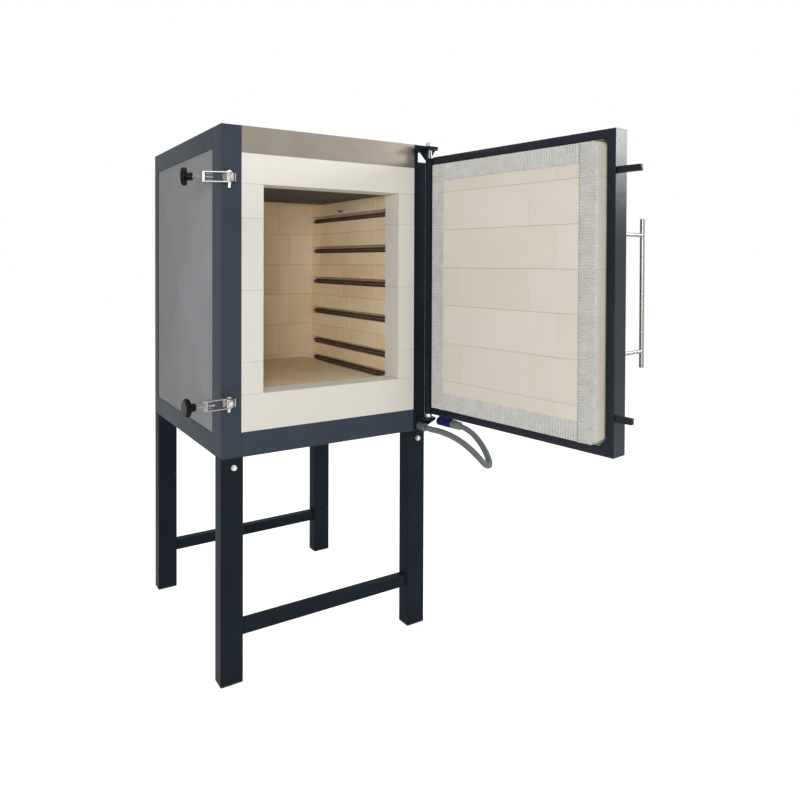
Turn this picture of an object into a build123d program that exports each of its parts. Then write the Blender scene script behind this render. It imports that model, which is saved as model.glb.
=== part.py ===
from build123d import *
from math import cos, radians, sin, sqrt, tan
import os

os.makedirs("parts", exist_ok=True)

# Front-loading electric kiln on a four-legged stand, door open. Millimetres.
# The origin is the stand's front left corner on the floor: X right, Y back, Z up.

# Overall sizes
STAND_H = 626
BODY_W = 686
BODY_D = 698
BODY_H = 917
SHEET = 3  # folded steel of the body and door frames
PANEL_T = 1.5  # pressed cover sheets
GAP = 0.3  # between pieces of different bodies
RUN = 0.06  # radial clearance of a shaft in its bore
JOINT = 0.5  # between bricks
BRICK_EDGE = 0.8  # worn edge of a brick

# Stand
LEG_X = 65
LEG_Y = 50
LEG_WALL = 3
LEG_R = 4
FOOT_T = 4
FOOT_PLUG = 15
SLIP = 0.4  # play of a plug or spigot in its leg, each side
RAIL_H = 35
RAIL_DEPTH = 30
RAIL_WALL = 2
RAIL_Z = 126
RAIL_SETBACK = 10
SPIGOT_L = 60
BOLT_R = 4
BOLT_X = 36.5  # from the leg's left side
BOLT_DROP = 25  # below the body
BOLT_HEAD_AF = 13
BOLT_HEAD_T = 5.5
WASHER_R = 8
WASHER_T = 1.6

# Body frame
POST_LEFT_W = 59
POST_RIGHT_W = 44
POST_SIDE = 74  # front posts, seen from the side
REAR_POST_W = 45
REAR_POST_SIDE = 42
FRONT_RAIL_H = 69
SIDE_RAIL_H = 59
TOP_FLANGE_H = 60
LINTEL_STRIP_H = 75
NOTCH_X = 30  # corner left free for the top hinge bracket
NOTCH_Y = 48
NOTCH_H = 55
PRESS_H = 10  # the pressed pyramid stands this far out of the frame
PRESS_EDGE = 12  # its foot lies this far inside the frame's window

# Lining
BASE_SHEET_T = 2
WALL_T = 76  # bricks laid flat
REAR_BOARD_T = 13.5
OPEN_X = (124, 582)
OPEN_Z = (172, 758)
COLLAR_D = 76
COLLAR_TOP = 842
CHAMBER_BACK = 604
FLOOR_BOARD_TOP = 75
FLOOR_PLATE_T = 20
TROUGH = 36
ROOF_PLATE_T = 15
ROOF_PLATE_BACK = 517
ROOF_TOP = 849
COURSE_Z = (187, 302, 417, 532, 647)  # bed joints of the side and rear walls
SIDE_JOINTS = ((138, 369, 600), (307, 538))
REAR_JOINTS = ((214.6, 445.6), (255.7, 486.7))
JAMB_JOINTS = (262.7, 462.2, 661.7)

# Heating
SLOT_Z = (174, 241.5, 356.5, 471.5, 586.5, 701.5)
SLOT_H = 26
SLOT_D = 26
COIL_R = 8.5
COIL_DROP = 4  # the coil lies low in its slot
COIL_Y = (88, 590)
TUBE_R = 5
TUBE_BORE_R = 3
TAIL_R = 2.5
TERMINAL = (30, 22, 24)
THERMO_Y = 361
THERMO_Z = 723
THERMO_R = 4
THERMO_OUT = 18

# Rear cover
COVER_INSET = 40
COVER_D = 45
COVER_Z = (45, 870)
COVER_FLANGE = 12
VENT_W = 60
VENT_H = 5
GLAND_X = 560

# Hinge
PIN_X = 674.5
PIN_Y = -36.3
PIN_R = 8
PIN_TOP = 920
HINGE_R = 12.5
TOP_PLATE_Z = 898
TOP_PLATE_T = 8
GUSSET_T = 6
LOW_PLATE_Z = 41
LOW_PLATE_T = 6
LOW_GUSSET_T = 5
NUT_AF = 24
NUT_T = 12

# Door, in its own frame: X from the pin to the free edge, Y to the outer face
OPEN_ANGLE = 98
DOOR_W = 626
DOOR_T = 53
DOOR_Z = (60, 872)
DOOR_START = 16  # from the pin to the hinge edge
DOOR_INNER = -2  # the inner face of the frame
PLUG_BORDER = 30
PLUG_OUT = 30  # the bricks stand this far out of the frame
PLUG_T = 64
PLUG_Z = (91, 841)
PLUG_SLOT = 7  # open round the bricks, which grow with the heat
SLOT_DEEP = 28
SEAL_W = 51
SEAL_T = 4
MITRE = 0.4
CORNER_R = 10
CORNER_C = 13
DOOR_COURSES = (181.5, 296, 410.5, 525, 639.5, 754)
DOOR_JOINTS = ((261.9, 495), (173.5, 408.4))
OUTER_LIP = 60
CATCH_Z = (158.5, 769.5)
CATCH_L = (44, 62)
CATCH_H = 16
CATCH_T = 12
CATCH_IN = 4  # from the inner face of the frame
HANDLE_X = 632
HANDLE_OUT = 95  # bar centre to the outer face
HANDLE_R = 6
HANDLE_Z = 462.5
HANDLE_L = 386
POST_R = 5
POST_SPACING = 301

# Door clamps
CLAMP_X = 16.5
CLAMP_Y = -18.5
CLAMP_Z = (158.5, 769.5)
CLAMP_REST = (-4, 25)  # the arms, lower and upper, rest this far back from the left
LUG_R = 12.5
LOCK_R = 3  # screw that locks the pin in its lug
LOCK_HEAD_R = 6.5
LOCK_HEAD_T = 4
LOCK_SEAT = 2.5
WINDOW_H = 23
STRAP_T = 3
STRAP_W = 16
CLAMP_PIN_R = 4
PIN_TAIL = (10, 14)
ARM_L = 71
CROSSBAR_T = 7
SPINDLE_R = 6
SPINDLE_TIP = 43
HUB_START = 97
HUB_R = 11
KNOB_START = 112.5
KNOB_END = 127
KNOB_R = 25
SCALLOPS = 8

# Conduit to the door
HOSE_R = 9.2
HOSE_ROOT_R = 8.4
HOSE_BORE_R = 7.1
RIBS = 150
FITTING_X = 666
FITTING_Z = 14
FITTING_L = 32
FITTING_R = 12.5
CONNECTOR_X = (21.5, 81)
CONNECTOR_Y = 26
CONNECTOR_Z = 36
CONNECTOR_R = 13.5
COUPLING_L = 31

BODY = Plane.XY.offset(STAND_H)
TURN = radians(OPEN_ANGLE)
DOOR_U = Vector(-cos(TURN), -sin(TURN), 0)
DOOR = Plane((PIN_X, PIN_Y, STAND_H), x_dir=DOOR_U, z_dir=(0, 0, 1))
CORNER = (Align.MIN, Align.MIN, Align.MIN)
STANDING = (Align.CENTER, Align.CENTER, Align.MIN)


def keep(part, name):
    """Name a finished piece and write it."""
    part.label = name
    export_step(part, f"parts/{name}.step")


def block(x, y, z, mode=Mode.ADD):
    """A box from its (low, high) extents."""
    with Locations((x[0], y[0], z[0])):
        Box(x[1] - x[0], y[1] - y[0], z[1] - z[0], align=CORNER, mode=mode)


def rod(start, direction, radius, length, mode=Mode.ADD):
    """A cylinder from a point along a direction."""
    with Locations(Plane(start, z_dir=direction)):
        Cylinder(radius, length, align=STANDING, mode=mode)


def hexagon(start, direction, across_flats, length):
    """A hexagon bar from a point along a direction."""
    with BuildSketch() as section:
        RegularPolygon(across_flats / 2, 6, major_radius=False)
    bar = extrude(section.sketch, amount=length, mode=Mode.PRIVATE)
    with Locations(Plane(start, z_dir=direction)):
        add(bar)


def prism(plane, points, amount, mode=Mode.ADD):
    """A plate of the given outline, drawn on a plane."""
    with BuildSketch(plane) as outline:
        with BuildLine():
            Polyline(*points, close=True)
        make_face()
    extrude(outline.sketch, amount=amount, mode=mode)


def spans(low, joints, high):
    """Brick extents between joints."""
    edges = [low - JOINT / 2, *joints, high + JOINT / 2]
    return [(a + JOINT / 2, b - JOINT / 2) for a, b in zip(edges, edges[1:])]


def pyramid(plane, width, height, rise):
    """A four-sided shallow pyramid on a plane, with a blunt tip."""
    with BuildSketch(plane) as foot:
        Rectangle(width, height)
    with BuildSketch(plane.offset(rise)) as tip:
        Rectangle(PRESS_EDGE, PRESS_EDGE)
    return [foot.sketch, tip.sketch]


# Stand: four box legs with plastic feet, a cross rail at the front and at the back

LEGS = {
    "leg_front_left": (0, 0),
    "leg_front_right": (BODY_W - LEG_X, 0),
    "leg_rear_left": (0, BODY_D - LEG_Y),
    "leg_rear_right": (BODY_W - LEG_X, BODY_D - LEG_Y),
}
BOLT_Z = STAND_H - BOLT_DROP
LEG_IN_X = LEG_X - 2 * LEG_WALL
LEG_IN_Y = LEG_Y - 2 * LEG_WALL


def bolt_side(y):
    """The outer face and inward direction of the leg wall that takes the bolt."""
    return (0, 1) if y == 0 else (BODY_D, -1)


for name, (x, y) in LEGS.items():
    centre = (x + LEG_X / 2, y + LEG_Y / 2)
    face, inward = bolt_side(y)
    with BuildPart() as leg:
        with BuildSketch(Plane.XY.offset(FOOT_T)):
            with Locations(centre):
                RectangleRounded(LEG_X, LEG_Y, LEG_R)
                RectangleRounded(LEG_IN_X, LEG_IN_Y, LEG_R - LEG_WALL, mode=Mode.SUBTRACT)
        extrude(amount=STAND_H - FOOT_T)
        rod((x + BOLT_X, face, BOLT_Z), (0, inward, 0), BOLT_R + SLIP, LEG_WALL, Mode.SUBTRACT)
    keep(leg.part, name)

with BuildPart() as foot_caps:
    with BuildSketch():
        with Locations([(x + LEG_X / 2, y + LEG_Y / 2) for x, y in LEGS.values()]):
            RectangleRounded(LEG_X, LEG_Y, LEG_R)
    extrude(amount=FOOT_T)
    with BuildSketch(Plane.XY.offset(FOOT_T)):
        with Locations([(x + LEG_X / 2, y + LEG_Y / 2) for x, y in LEGS.values()]):
            Rectangle(LEG_IN_X - 2 * SLIP, LEG_IN_Y - 2 * SLIP)
    extrude(amount=FOOT_PLUG)
keep(foot_caps.part, "foot_caps")

for name, y in (
    ("stand_rail_front", RAIL_SETBACK),
    ("stand_rail_rear", BODY_D - RAIL_SETBACK - RAIL_DEPTH),
):
    with BuildPart() as rail:
        span = (LEG_X, BODY_W - LEG_X)
        block(span, (y, y + RAIL_DEPTH), (RAIL_Z, RAIL_Z + RAIL_H))
        block(
            span,
            (y + RAIL_WALL, y + RAIL_DEPTH - RAIL_WALL),
            (RAIL_Z + RAIL_WALL, RAIL_Z + RAIL_H - RAIL_WALL),
            Mode.SUBTRACT,
        )
    keep(rail.part, name)

with BuildPart() as leg_bolts:
    for x, y in LEGS.values():
        face, inward = bolt_side(y)
        seat = face - inward * WASHER_T
        rod((x + BOLT_X, seat, BOLT_Z), (0, inward, 0), WASHER_R, WASHER_T)
        rod((x + BOLT_X, seat, BOLT_Z), (0, inward, 0), BOLT_R, WASHER_T + 4 * LEG_WALL)
        hexagon((x + BOLT_X, seat, BOLT_Z), (0, -inward, 0), BOLT_HEAD_AF, BOLT_HEAD_T)
keep(leg_bolts.part, "leg_bolts")

# Body frame: a base ring whose spigots stand in the legs, corner posts, and a folded lid

with BuildPart(BODY) as base_frame:
    block((0, BODY_W), (0, BODY_D), (0, SHEET))
    block((LEG_X, BODY_W - LEG_X), (LEG_Y, BODY_D - LEG_Y), (0, SHEET), Mode.SUBTRACT)
    block((POST_LEFT_W, BODY_W - POST_RIGHT_W), (0, SHEET), (SHEET, FRONT_RAIL_H))
    block((REAR_POST_W, BODY_W - REAR_POST_W), (BODY_D - SHEET, BODY_D), (SHEET, SIDE_RAIL_H))
    for x in (0, BODY_W - SHEET):
        block((x, x + SHEET), (POST_SIDE, BODY_D - REAR_POST_SIDE), (SHEET, SIDE_RAIL_H))
    for x, y in LEGS.values():
        inset = LEG_WALL + SLIP
        outside = ((x + inset, x + LEG_X - inset), (y + inset, y + LEG_Y - inset))
        inside = tuple((low + SHEET, high - SHEET) for low, high in outside)
        block(*outside, (-SPIGOT_L, 0))
        block(*inside, (-SPIGOT_L, 0), Mode.SUBTRACT)
        face, inward = bolt_side(y)
        hole = (x + BOLT_X, face, -BOLT_DROP)
        rod(hole, (0, inward, 0), BOLT_R + SLIP, 4 * LEG_WALL, Mode.SUBTRACT)
keep(base_frame.part, "base_frame")

with BuildPart(BODY) as post_left:
    block((0, POST_LEFT_W), (0, SHEET), (SHEET, BODY_H))
    block((0, SHEET), (0, POST_SIDE), (SHEET, BODY_H))
keep(post_left.part, "post_front_left")

# The right post steps back at the top, where the hinge bracket stands in the free corner
NOTCH_LEFT = BODY_W - NOTCH_X
NOTCH_Z = BODY_H - NOTCH_H
NOTCH = (
    (NOTCH_LEFT - SHEET, BODY_W),
    (0, NOTCH_Y + SHEET),
    (NOTCH_Z - SHEET, BODY_H),
)  # with its own walls
with BuildPart(BODY) as post_right:
    block((BODY_W - POST_RIGHT_W, BODY_W), (0, SHEET), (SHEET, BODY_H))
    block((BODY_W - SHEET, BODY_W), (0, POST_SIDE), (SHEET, BODY_H))
    block((NOTCH_LEFT, BODY_W), (0, NOTCH_Y), (NOTCH_Z, BODY_H), Mode.SUBTRACT)
    walls_z = (NOTCH_Z - SHEET, BODY_H - SHEET)
    block((NOTCH_LEFT - SHEET, NOTCH_LEFT), (0, NOTCH_Y + SHEET), walls_z)
    block((NOTCH_LEFT, BODY_W), (NOTCH_Y, NOTCH_Y + SHEET), walls_z)
    block((NOTCH_LEFT - SHEET, BODY_W), (0, NOTCH_Y), (NOTCH_Z - SHEET, NOTCH_Z))
keep(post_right.part, "post_front_right")

with BuildPart(BODY) as rear_posts:
    for x, wall in (((0, REAR_POST_W), 0), ((BODY_W - REAR_POST_W, BODY_W), BODY_W - SHEET)):
        block(x, (BODY_D - SHEET, BODY_D), (SHEET, BODY_H - SHEET))
        block((wall, wall + SHEET), (BODY_D - REAR_POST_SIDE, BODY_D), (SHEET, BODY_H - SHEET))
keep(rear_posts.part, "rear_posts")

with BuildPart(BODY) as top_cover:
    block((SHEET, BODY_W - SHEET), (SHEET, BODY_D), (BODY_H - SHEET, BODY_H))
    flange = (BODY_H - TOP_FLANGE_H, BODY_H)
    for x in (0, BODY_W - SHEET):
        block((x, x + SHEET), (POST_SIDE, BODY_D - REAR_POST_SIDE), flange)
        block((x, x + SHEET), (BODY_D - REAR_POST_SIDE, BODY_D), (BODY_H - SHEET, BODY_H))
    block((REAR_POST_W, BODY_W - REAR_POST_W), (BODY_D - SHEET, BODY_D), flange)
    block((NOTCH_LEFT, BODY_W), (0, NOTCH_Y), (BODY_H - SHEET, BODY_H))
keep(top_cover.part, "top_cover")

with BuildPart(BODY) as lintel_cover:
    block((POST_LEFT_W, BODY_W - POST_RIGHT_W), (0, SHEET), (BODY_H - LINTEL_STRIP_H, BODY_H))
keep(lintel_cover.part, "lintel_cover")

# Cover sheets behind the frame; the side sheets are pressed outwards to a flat pyramid

PANEL_Y = (SHEET, BODY_D - SHEET - PANEL_T)
PANEL_Z = (SHEET, BODY_H - SHEET)
WINDOW_Y = (POST_SIDE, BODY_D - REAR_POST_SIDE)
WINDOW_Z = (SIDE_RAIL_H, BODY_H - TOP_FLANGE_H)
PRESS_AT = (sum(WINDOW_Y) / 2, STAND_H + sum(WINDOW_Z) / 2)
PRESS_SIZE = (
    WINDOW_Y[1] - WINDOW_Y[0] - 2 * PRESS_EDGE,
    WINDOW_Z[1] - WINDOW_Z[0] - 2 * PRESS_EDGE,
)
for name, outer, side in (
    ("side_panel_left", SHEET, -1),
    ("side_panel_right", BODY_W - SHEET, 1),
):
    sheet = sorted((outer, outer - side * PANEL_T))
    rise = PRESS_H + SHEET
    front = Plane((outer, *PRESS_AT), x_dir=(0, 1, 0), z_dir=(side, 0, 0))
    with BuildPart(BODY) as panel:
        block(sheet, PANEL_Y, PANEL_Z)
        loft(pyramid(front, *PRESS_SIZE, rise))
        back = front.offset(-PANEL_T)
        loft(pyramid(back, *PRESS_SIZE, rise), mode=Mode.SUBTRACT)
        block(*NOTCH, Mode.SUBTRACT)
    keep(panel.part, name)

# Heating levels: one coil on its tube in every slot of both side walls
LEFT_AXIS = OPEN_X[0] - (SLOT_D - SLOT_H / 2)
RIGHT_AXIS = OPEN_X[1] + (SLOT_D - SLOT_H / 2)
COILS = [(x, z - COIL_DROP) for x in (LEFT_AXIS, RIGHT_AXIS) for z in SLOT_Z]
TAIL_HOLE = TAIL_R + 1.5
REAR_WALL = (CHAMBER_BACK, CHAMBER_BACK + WALL_T)
REAR_PANEL = (BODY_D - SHEET - PANEL_T, BODY_D - SHEET)


def tail_holes(y):
    """Holes along Y for the coil tails."""
    for x, z in COILS:
        rod((x, y[0], z), (0, 1, 0), TAIL_HOLE, y[1] - y[0], Mode.SUBTRACT)


with BuildPart(BODY) as rear_panel:
    block((SHEET, BODY_W - SHEET), REAR_PANEL, PANEL_Z)
    tail_holes(REAR_PANEL)
keep(rear_panel.part, "rear_panel")

# Lining: base sheet, boards, then the brickwork of floor, walls, roof and front collar

WALL_X = (OPEN_X[0] - WALL_T, OPEN_X[1] + WALL_T)
PANEL_IN = (SHEET + PANEL_T, BODY_W - SHEET - PANEL_T)
BOARD_Z = (SHEET + BASE_SHEET_T, BODY_H - SHEET)
COLLAR_X = (POST_LEFT_W, BODY_W - POST_RIGHT_W)
COLLAR_Y = (0, COLLAR_D)
BEHIND = (COLLAR_D, CHAMBER_BACK + WALL_T)  # side boards, roof and floor board

with BuildPart(BODY) as base_sheet:
    block(PANEL_IN, (SHEET, REAR_PANEL[0]), (SHEET, SHEET + BASE_SHEET_T))
keep(base_sheet.part, "base_sheet")

with BuildPart(BODY) as insulation_floor:
    block(WALL_X, BEHIND, (BOARD_Z[0], FLOOR_BOARD_TOP))
    block(COLLAR_X, (SHEET, COLLAR_D), (BOARD_Z[0], FRONT_RAIL_H))
keep(insulation_floor.part, "insulation_floor")

HEAD_R = 10
HEAD_L = 18
with BuildPart(BODY) as insulation_sides:
    block((PANEL_IN[0], WALL_X[0]), BEHIND, BOARD_Z)
    block((WALL_X[1], PANEL_IN[1]), BEHIND, BOARD_Z)
    block((PANEL_IN[0], COLLAR_X[0]), (SHEET, COLLAR_D), BOARD_Z)
    block((COLLAR_X[1], PANEL_IN[1]), (SHEET, COLLAR_D), BOARD_Z)
    block(*NOTCH, Mode.SUBTRACT)
    rod((WALL_X[1], THERMO_Y, THERMO_Z), (1, 0, 0), HEAD_R + SLIP, HEAD_L + SLIP, Mode.SUBTRACT)
keep(insulation_sides.part, "insulation_sides")

with BuildPart(BODY) as insulation_rear:
    block(PANEL_IN, (BEHIND[1], REAR_PANEL[0]), BOARD_Z)
    tail_holes((BEHIND[1], REAR_PANEL[0]))
keep(insulation_rear.part, "insulation_rear")

with BuildPart(BODY) as insulation_roof:
    block(WALL_X, BEHIND, (ROOF_TOP, BOARD_Z[1]))
    block(COLLAR_X, (SHEET, COLLAR_D), (COLLAR_TOP, BOARD_Z[1]))
keep(insulation_roof.part, "insulation_roof")

with BuildPart(BODY) as floor_bricks:
    floor_z = (FLOOR_BOARD_TOP, OPEN_Z[0] - FLOOR_PLATE_T)
    for x in spans(OPEN_X[0] + JOINT, (238, 353, 468), OPEN_X[1] - JOINT):
        for y in spans(COLLAR_D, (307, 538), CHAMBER_BACK - JOINT):
            block(x, y, floor_z)
keep(floor_bricks.part, "floor_bricks")

with BuildPart(BODY) as floor_plate:
    plate_x = (OPEN_X[0] + TROUGH, OPEN_X[1] - TROUGH)
    block(plate_x, (COLLAR_D, CHAMBER_BACK - JOINT), (OPEN_Z[0] - FLOOR_PLATE_T, OPEN_Z[0]))
    chamfer(floor_plate.edges().group_by(Axis.Z)[-1], BRICK_EDGE)
keep(floor_plate.part, "floor_plate")

for name, wall_x, mouth, axis_x, inner in (
    ("left_wall_bricks", (WALL_X[0], OPEN_X[0]), OPEN_X[0], LEFT_AXIS, -1),
    ("right_wall_bricks", (OPEN_X[1], WALL_X[1]), OPEN_X[1], RIGHT_AXIS, 0),
):
    with BuildPart(BODY) as wall:
        for row, z in enumerate(spans(FLOOR_BOARD_TOP, COURSE_Z, OPEN_Z[1])):
            for y in spans(COLLAR_D, SIDE_JOINTS[(row + 1) % 2], CHAMBER_BACK - JOINT):
                block(wall_x, y, z)
        chamfer(wall.faces().filter_by(Axis.X).group_by(Axis.X)[inner].edges(), BRICK_EDGE)
        for z in SLOT_Z:
            length = (COLLAR_D, CHAMBER_BACK)
            slot = (z - SLOT_H / 2, z + SLOT_H / 2)
            block(sorted((mouth, axis_x)), length, slot, Mode.SUBTRACT)
            start = (axis_x, COLLAR_D, z)
            rod(start, (0, 1, 0), SLOT_H / 2, CHAMBER_BACK - COLLAR_D, Mode.SUBTRACT)
        if inner == 0:
            start = (OPEN_X[1], THERMO_Y, THERMO_Z)
            rod(start, (1, 0, 0), THERMO_R + SLIP, WALL_T, Mode.SUBTRACT)
    keep(wall.part, name)

with BuildPart(BODY) as rear_wall:
    for row, z in enumerate(spans(FLOOR_BOARD_TOP, COURSE_Z, OPEN_Z[1])):
        for x in spans(WALL_X[0], REAR_JOINTS[(row + 1) % 2], WALL_X[1]):
            block(x, REAR_WALL, z)
    chamfer(rear_wall.faces().filter_by(Axis.Y).group_by(Axis.Y)[0].edges(), BRICK_EDGE)
    tail_holes(REAR_WALL)
keep(rear_wall.part, "rear_wall_bricks")

with BuildPart(BODY) as collar:
    jamb_z = spans(OPEN_Z[0] + JOINT, JAMB_JOINTS, OPEN_Z[1] - JOINT)
    for x in ((COLLAR_X[0], OPEN_X[0]), (OPEN_X[1], COLLAR_X[1])):
        for z in jamb_z:
            block(x, COLLAR_Y, z)
    for z in ((FRONT_RAIL_H, OPEN_Z[0]), (OPEN_Z[1], COLLAR_TOP)):
        block(COLLAR_X, COLLAR_Y, z)
    chamfer(collar.faces().filter_by(Axis.Y).group_by(Axis.Y)[0].edges(), BRICK_EDGE / 2)
keep(collar.part, "collar_bricks")

with BuildPart(BODY) as roof_plate:
    plate_z = (OPEN_Z[1], OPEN_Z[1] + ROOF_PLATE_T)
    block(WALL_X, (COLLAR_D, ROOF_PLATE_BACK), plate_z)
keep(roof_plate.part, "roof_plate")

with BuildPart(BODY) as roof_bricks:
    for x in spans(WALL_X[0], (163, 278, 393, 508, 623), WALL_X[1]):
        for y in spans(COLLAR_D, (287,), ROOF_PLATE_BACK - JOINT):
            block(x, y, (plate_z[1], ROOF_TOP))
    for x in spans(WALL_X[0], (250, 480), WALL_X[1]):
        block(x, (ROOF_PLATE_BACK, BEHIND[1]), (OPEN_Z[1], ROOF_TOP))
keep(roof_bricks.part, "roof_bricks")

# Heating coils round ceramic tubes, with their tails through the rear wall to the terminals

TERMINAL_Y = BODY_D - SHEET
with BuildPart(BODY) as element_tubes:
    for x, z in COILS:
        rod((x, COIL_Y[0] - 6, z), (0, 1, 0), TUBE_R, COIL_Y[1] - COIL_Y[0] + 4)
        rod((x, COIL_Y[0] - 6, z), (0, 1, 0), TUBE_BORE_R, COIL_Y[1] - COIL_Y[0] + 4, Mode.SUBTRACT)
keep(element_tubes.part, "element_tubes")

with BuildPart(BODY) as heating_coils:
    for x, z in COILS:
        rod((x, COIL_Y[0], z), (0, 1, 0), COIL_R, COIL_Y[1] - COIL_Y[0] + 2)
    for x, z in COILS:
        rod((x, COIL_Y[0], z), (0, 1, 0), TUBE_R + GAP, COIL_Y[1] - COIL_Y[0] - 1, Mode.SUBTRACT)
        rod((x, COIL_Y[1], z), (0, 1, 0), TAIL_R, TERMINAL_Y + TERMINAL[1] - 4 - COIL_Y[1])
keep(heating_coils.part, "heating_coils")

with BuildPart(BODY) as terminals:
    for x, z in COILS:
        block(
            (x - TERMINAL[0] / 2, x + TERMINAL[0] / 2),
            (TERMINAL_Y, TERMINAL_Y + TERMINAL[1]),
            (z - TERMINAL[2] / 2, z + TERMINAL[2] / 2),
        )
        bore = (x, TERMINAL_Y, z)
        rod(bore, (0, 1, 0), TAIL_R + SLIP, TERMINAL[1] - 4 + SLIP, Mode.SUBTRACT)
        for side in (-9, 9):
            rod((x + side, TERMINAL_Y + TERMINAL[1], z), (0, 1, 0), 3.5, 3)
keep(terminals.part, "terminal_blocks")

with BuildPart(BODY) as thermocouple:
    tip = (OPEN_X[1] - THERMO_OUT, THERMO_Y, THERMO_Z)
    rod(tip, (1, 0, 0), THERMO_R, THERMO_OUT + WALL_T)
    rod((WALL_X[1], THERMO_Y, THERMO_Z), (1, 0, 0), HEAD_R, HEAD_L)
    fillet(thermocouple.edges().group_by(Axis.X)[0], THERMO_R / 2)
keep(thermocouple.part, "thermocouple")

# Vented cover over the terminals at the back, with the gland for the supply lead

COVER_X = (COVER_INSET, BODY_W - COVER_INSET)
COVER_Y = (BODY_D, BODY_D + COVER_D)
with BuildPart(BODY) as cover:
    block(COVER_X, COVER_Y, COVER_Z)
    pocket_x = (COVER_X[0] + PANEL_T, COVER_X[1] - PANEL_T)
    pocket_z = (COVER_Z[0] + PANEL_T, COVER_Z[1] - PANEL_T)
    block(pocket_x, (COVER_Y[0] + PANEL_T, COVER_Y[1] - PANEL_T), pocket_z, Mode.SUBTRACT)
    mouth_x = (COVER_X[0] + COVER_FLANGE, COVER_X[1] - COVER_FLANGE)
    mouth_z = (COVER_Z[0] + COVER_FLANGE, COVER_Z[1] - COVER_FLANGE)
    block(mouth_x, (COVER_Y[0], COVER_Y[0] + PANEL_T), mouth_z, Mode.SUBTRACT)
    for centre_z in (COVER_Z[0] + 90, COVER_Z[1] - 90):
        at = Plane((sum(COVER_X) / 2, COVER_Y[1], STAND_H + centre_z), x_dir=(-1, 0, 0), z_dir=(0, 1, 0))
        with BuildSketch(at):
            with GridLocations(VENT_W + 20, VENT_H + 9, 5, 6):
                SlotOverall(VENT_W, VENT_H)
        extrude(amount=-2 * PANEL_T, mode=Mode.SUBTRACT)
    GLAND_Y = sum(COVER_Y) / 2
    rod((GLAND_X, GLAND_Y, COVER_Z[0]), (0, 0, 1), 10 + SLIP, 2 * PANEL_T, Mode.SUBTRACT)
keep(cover.part, "terminal_cover")

with BuildPart(BODY) as cable_gland:
    rod((GLAND_X, GLAND_Y, COVER_Z[0] - 24), (0, 0, 1), 10, 24 + PANEL_T + 6)
    hexagon((GLAND_X, GLAND_Y, COVER_Z[0] - 6), (0, 0, 1), 27, 6)
    rod((GLAND_X, GLAND_Y, COVER_Z[0] - 26), (0, 0, 1), 12.5, 18)
    hexagon((GLAND_X, GLAND_Y, COVER_Z[0] + PANEL_T), (0, 0, 1), 27, 5)
    rod((GLAND_X, GLAND_Y, COVER_Z[0] - 26), (0, 0, 1), 6.5, 40, Mode.SUBTRACT)
keep(cable_gland.part, "cable_gland")

# Door hinge: one long pin between two welded brackets

with BuildPart(BODY) as bracket_top:
    outline = (
        (NOTCH_LEFT, NOTCH_Y), (PIN_X + 7, NOTCH_Y), (PIN_X + 7, 6), (PIN_X + 33, -14),
        (PIN_X + 33, PIN_Y), (PIN_X + 18, PIN_Y - 20), (PIN_X - 22, PIN_Y - 20),
        (PIN_X - 32, -28), (PIN_X - 32, 0), (NOTCH_LEFT, 0),
    )
    prism(BODY.offset(TOP_PLATE_Z), outline, TOP_PLATE_T)
    foot_z = (TOP_PLATE_Z + TOP_PLATE_T, BODY_H - SHEET)
    block((NOTCH_LEFT, PIN_X + 7), (0, NOTCH_Y), foot_z)
    rod((PIN_X, PIN_Y, TOP_PLATE_Z), (0, 0, 1), PIN_R, TOP_PLATE_T, Mode.SUBTRACT)
    rib_front = PIN_Y + HINGE_R + 1
    rib = Plane((PIN_X, rib_front, STAND_H), x_dir=(1, 0, 0), z_dir=(0, -1, 0))
    prism(rib, ((-32, TOP_PLATE_Z), (-3, DOOR_Z[1] - 5), (14.5, DOOR_Z[1] - 1), (32, TOP_PLATE_Z)), -GUSSET_T)
keep(bracket_top.part, "hinge_bracket_top")

with BuildPart(BODY) as bracket_low:
    outline = (
        (PIN_X - 26, 0), (PIN_X - 26, PIN_Y - 8), (PIN_X - 14, PIN_Y - 19), (PIN_X + 14, PIN_Y - 19),
        (PIN_X + 22, PIN_Y - 9), (PIN_X + 22, PIN_Y + 4), (BODY_W, 0),
    )
    prism(BODY.offset(LOW_PLATE_Z), outline, LOW_PLATE_T)
    rod((PIN_X, PIN_Y, LOW_PLATE_Z), (0, 0, 1), PIN_R, LOW_PLATE_T, Mode.SUBTRACT)
    web = Plane((BODY_W - LOW_GUSSET_T, 0, STAND_H), x_dir=(0, 1, 0), z_dir=(1, 0, 0))
    prism(web, ((0, LOW_PLATE_Z), (PIN_Y - 19, LOW_PLATE_Z), (0, 5)), LOW_GUSSET_T)
keep(bracket_low.part, "hinge_bracket_bottom")

with BuildPart(BODY) as hinge_pin:
    rod((PIN_X, PIN_Y, LOW_PLATE_Z), (0, 0, 1), PIN_R, PIN_TOP - LOW_PLATE_Z)
    chamfer(hinge_pin.edges().group_by(Axis.Z)[-1], 1)
keep(hinge_pin.part, "hinge_pin")

with BuildPart(BODY) as hinge_nuts:
    low_top = LOW_PLATE_Z + LOW_PLATE_T
    hexagon((PIN_X, PIN_Y, TOP_PLATE_Z + TOP_PLATE_T), (0, 0, 1), NUT_AF, NUT_T)
    rod((PIN_X, PIN_Y, low_top), (0, 0, 1), HINGE_R, DOOR_Z[0] - GAP - low_top)
    rod((PIN_X, PIN_Y, low_top), (0, 0, 1), PIN_R, PIN_TOP - low_top, Mode.SUBTRACT)
keep(hinge_nuts.part, "hinge_nut_and_collar")

# Door: a folded steel tray with a brick plug and a flat seal round its rim

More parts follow.
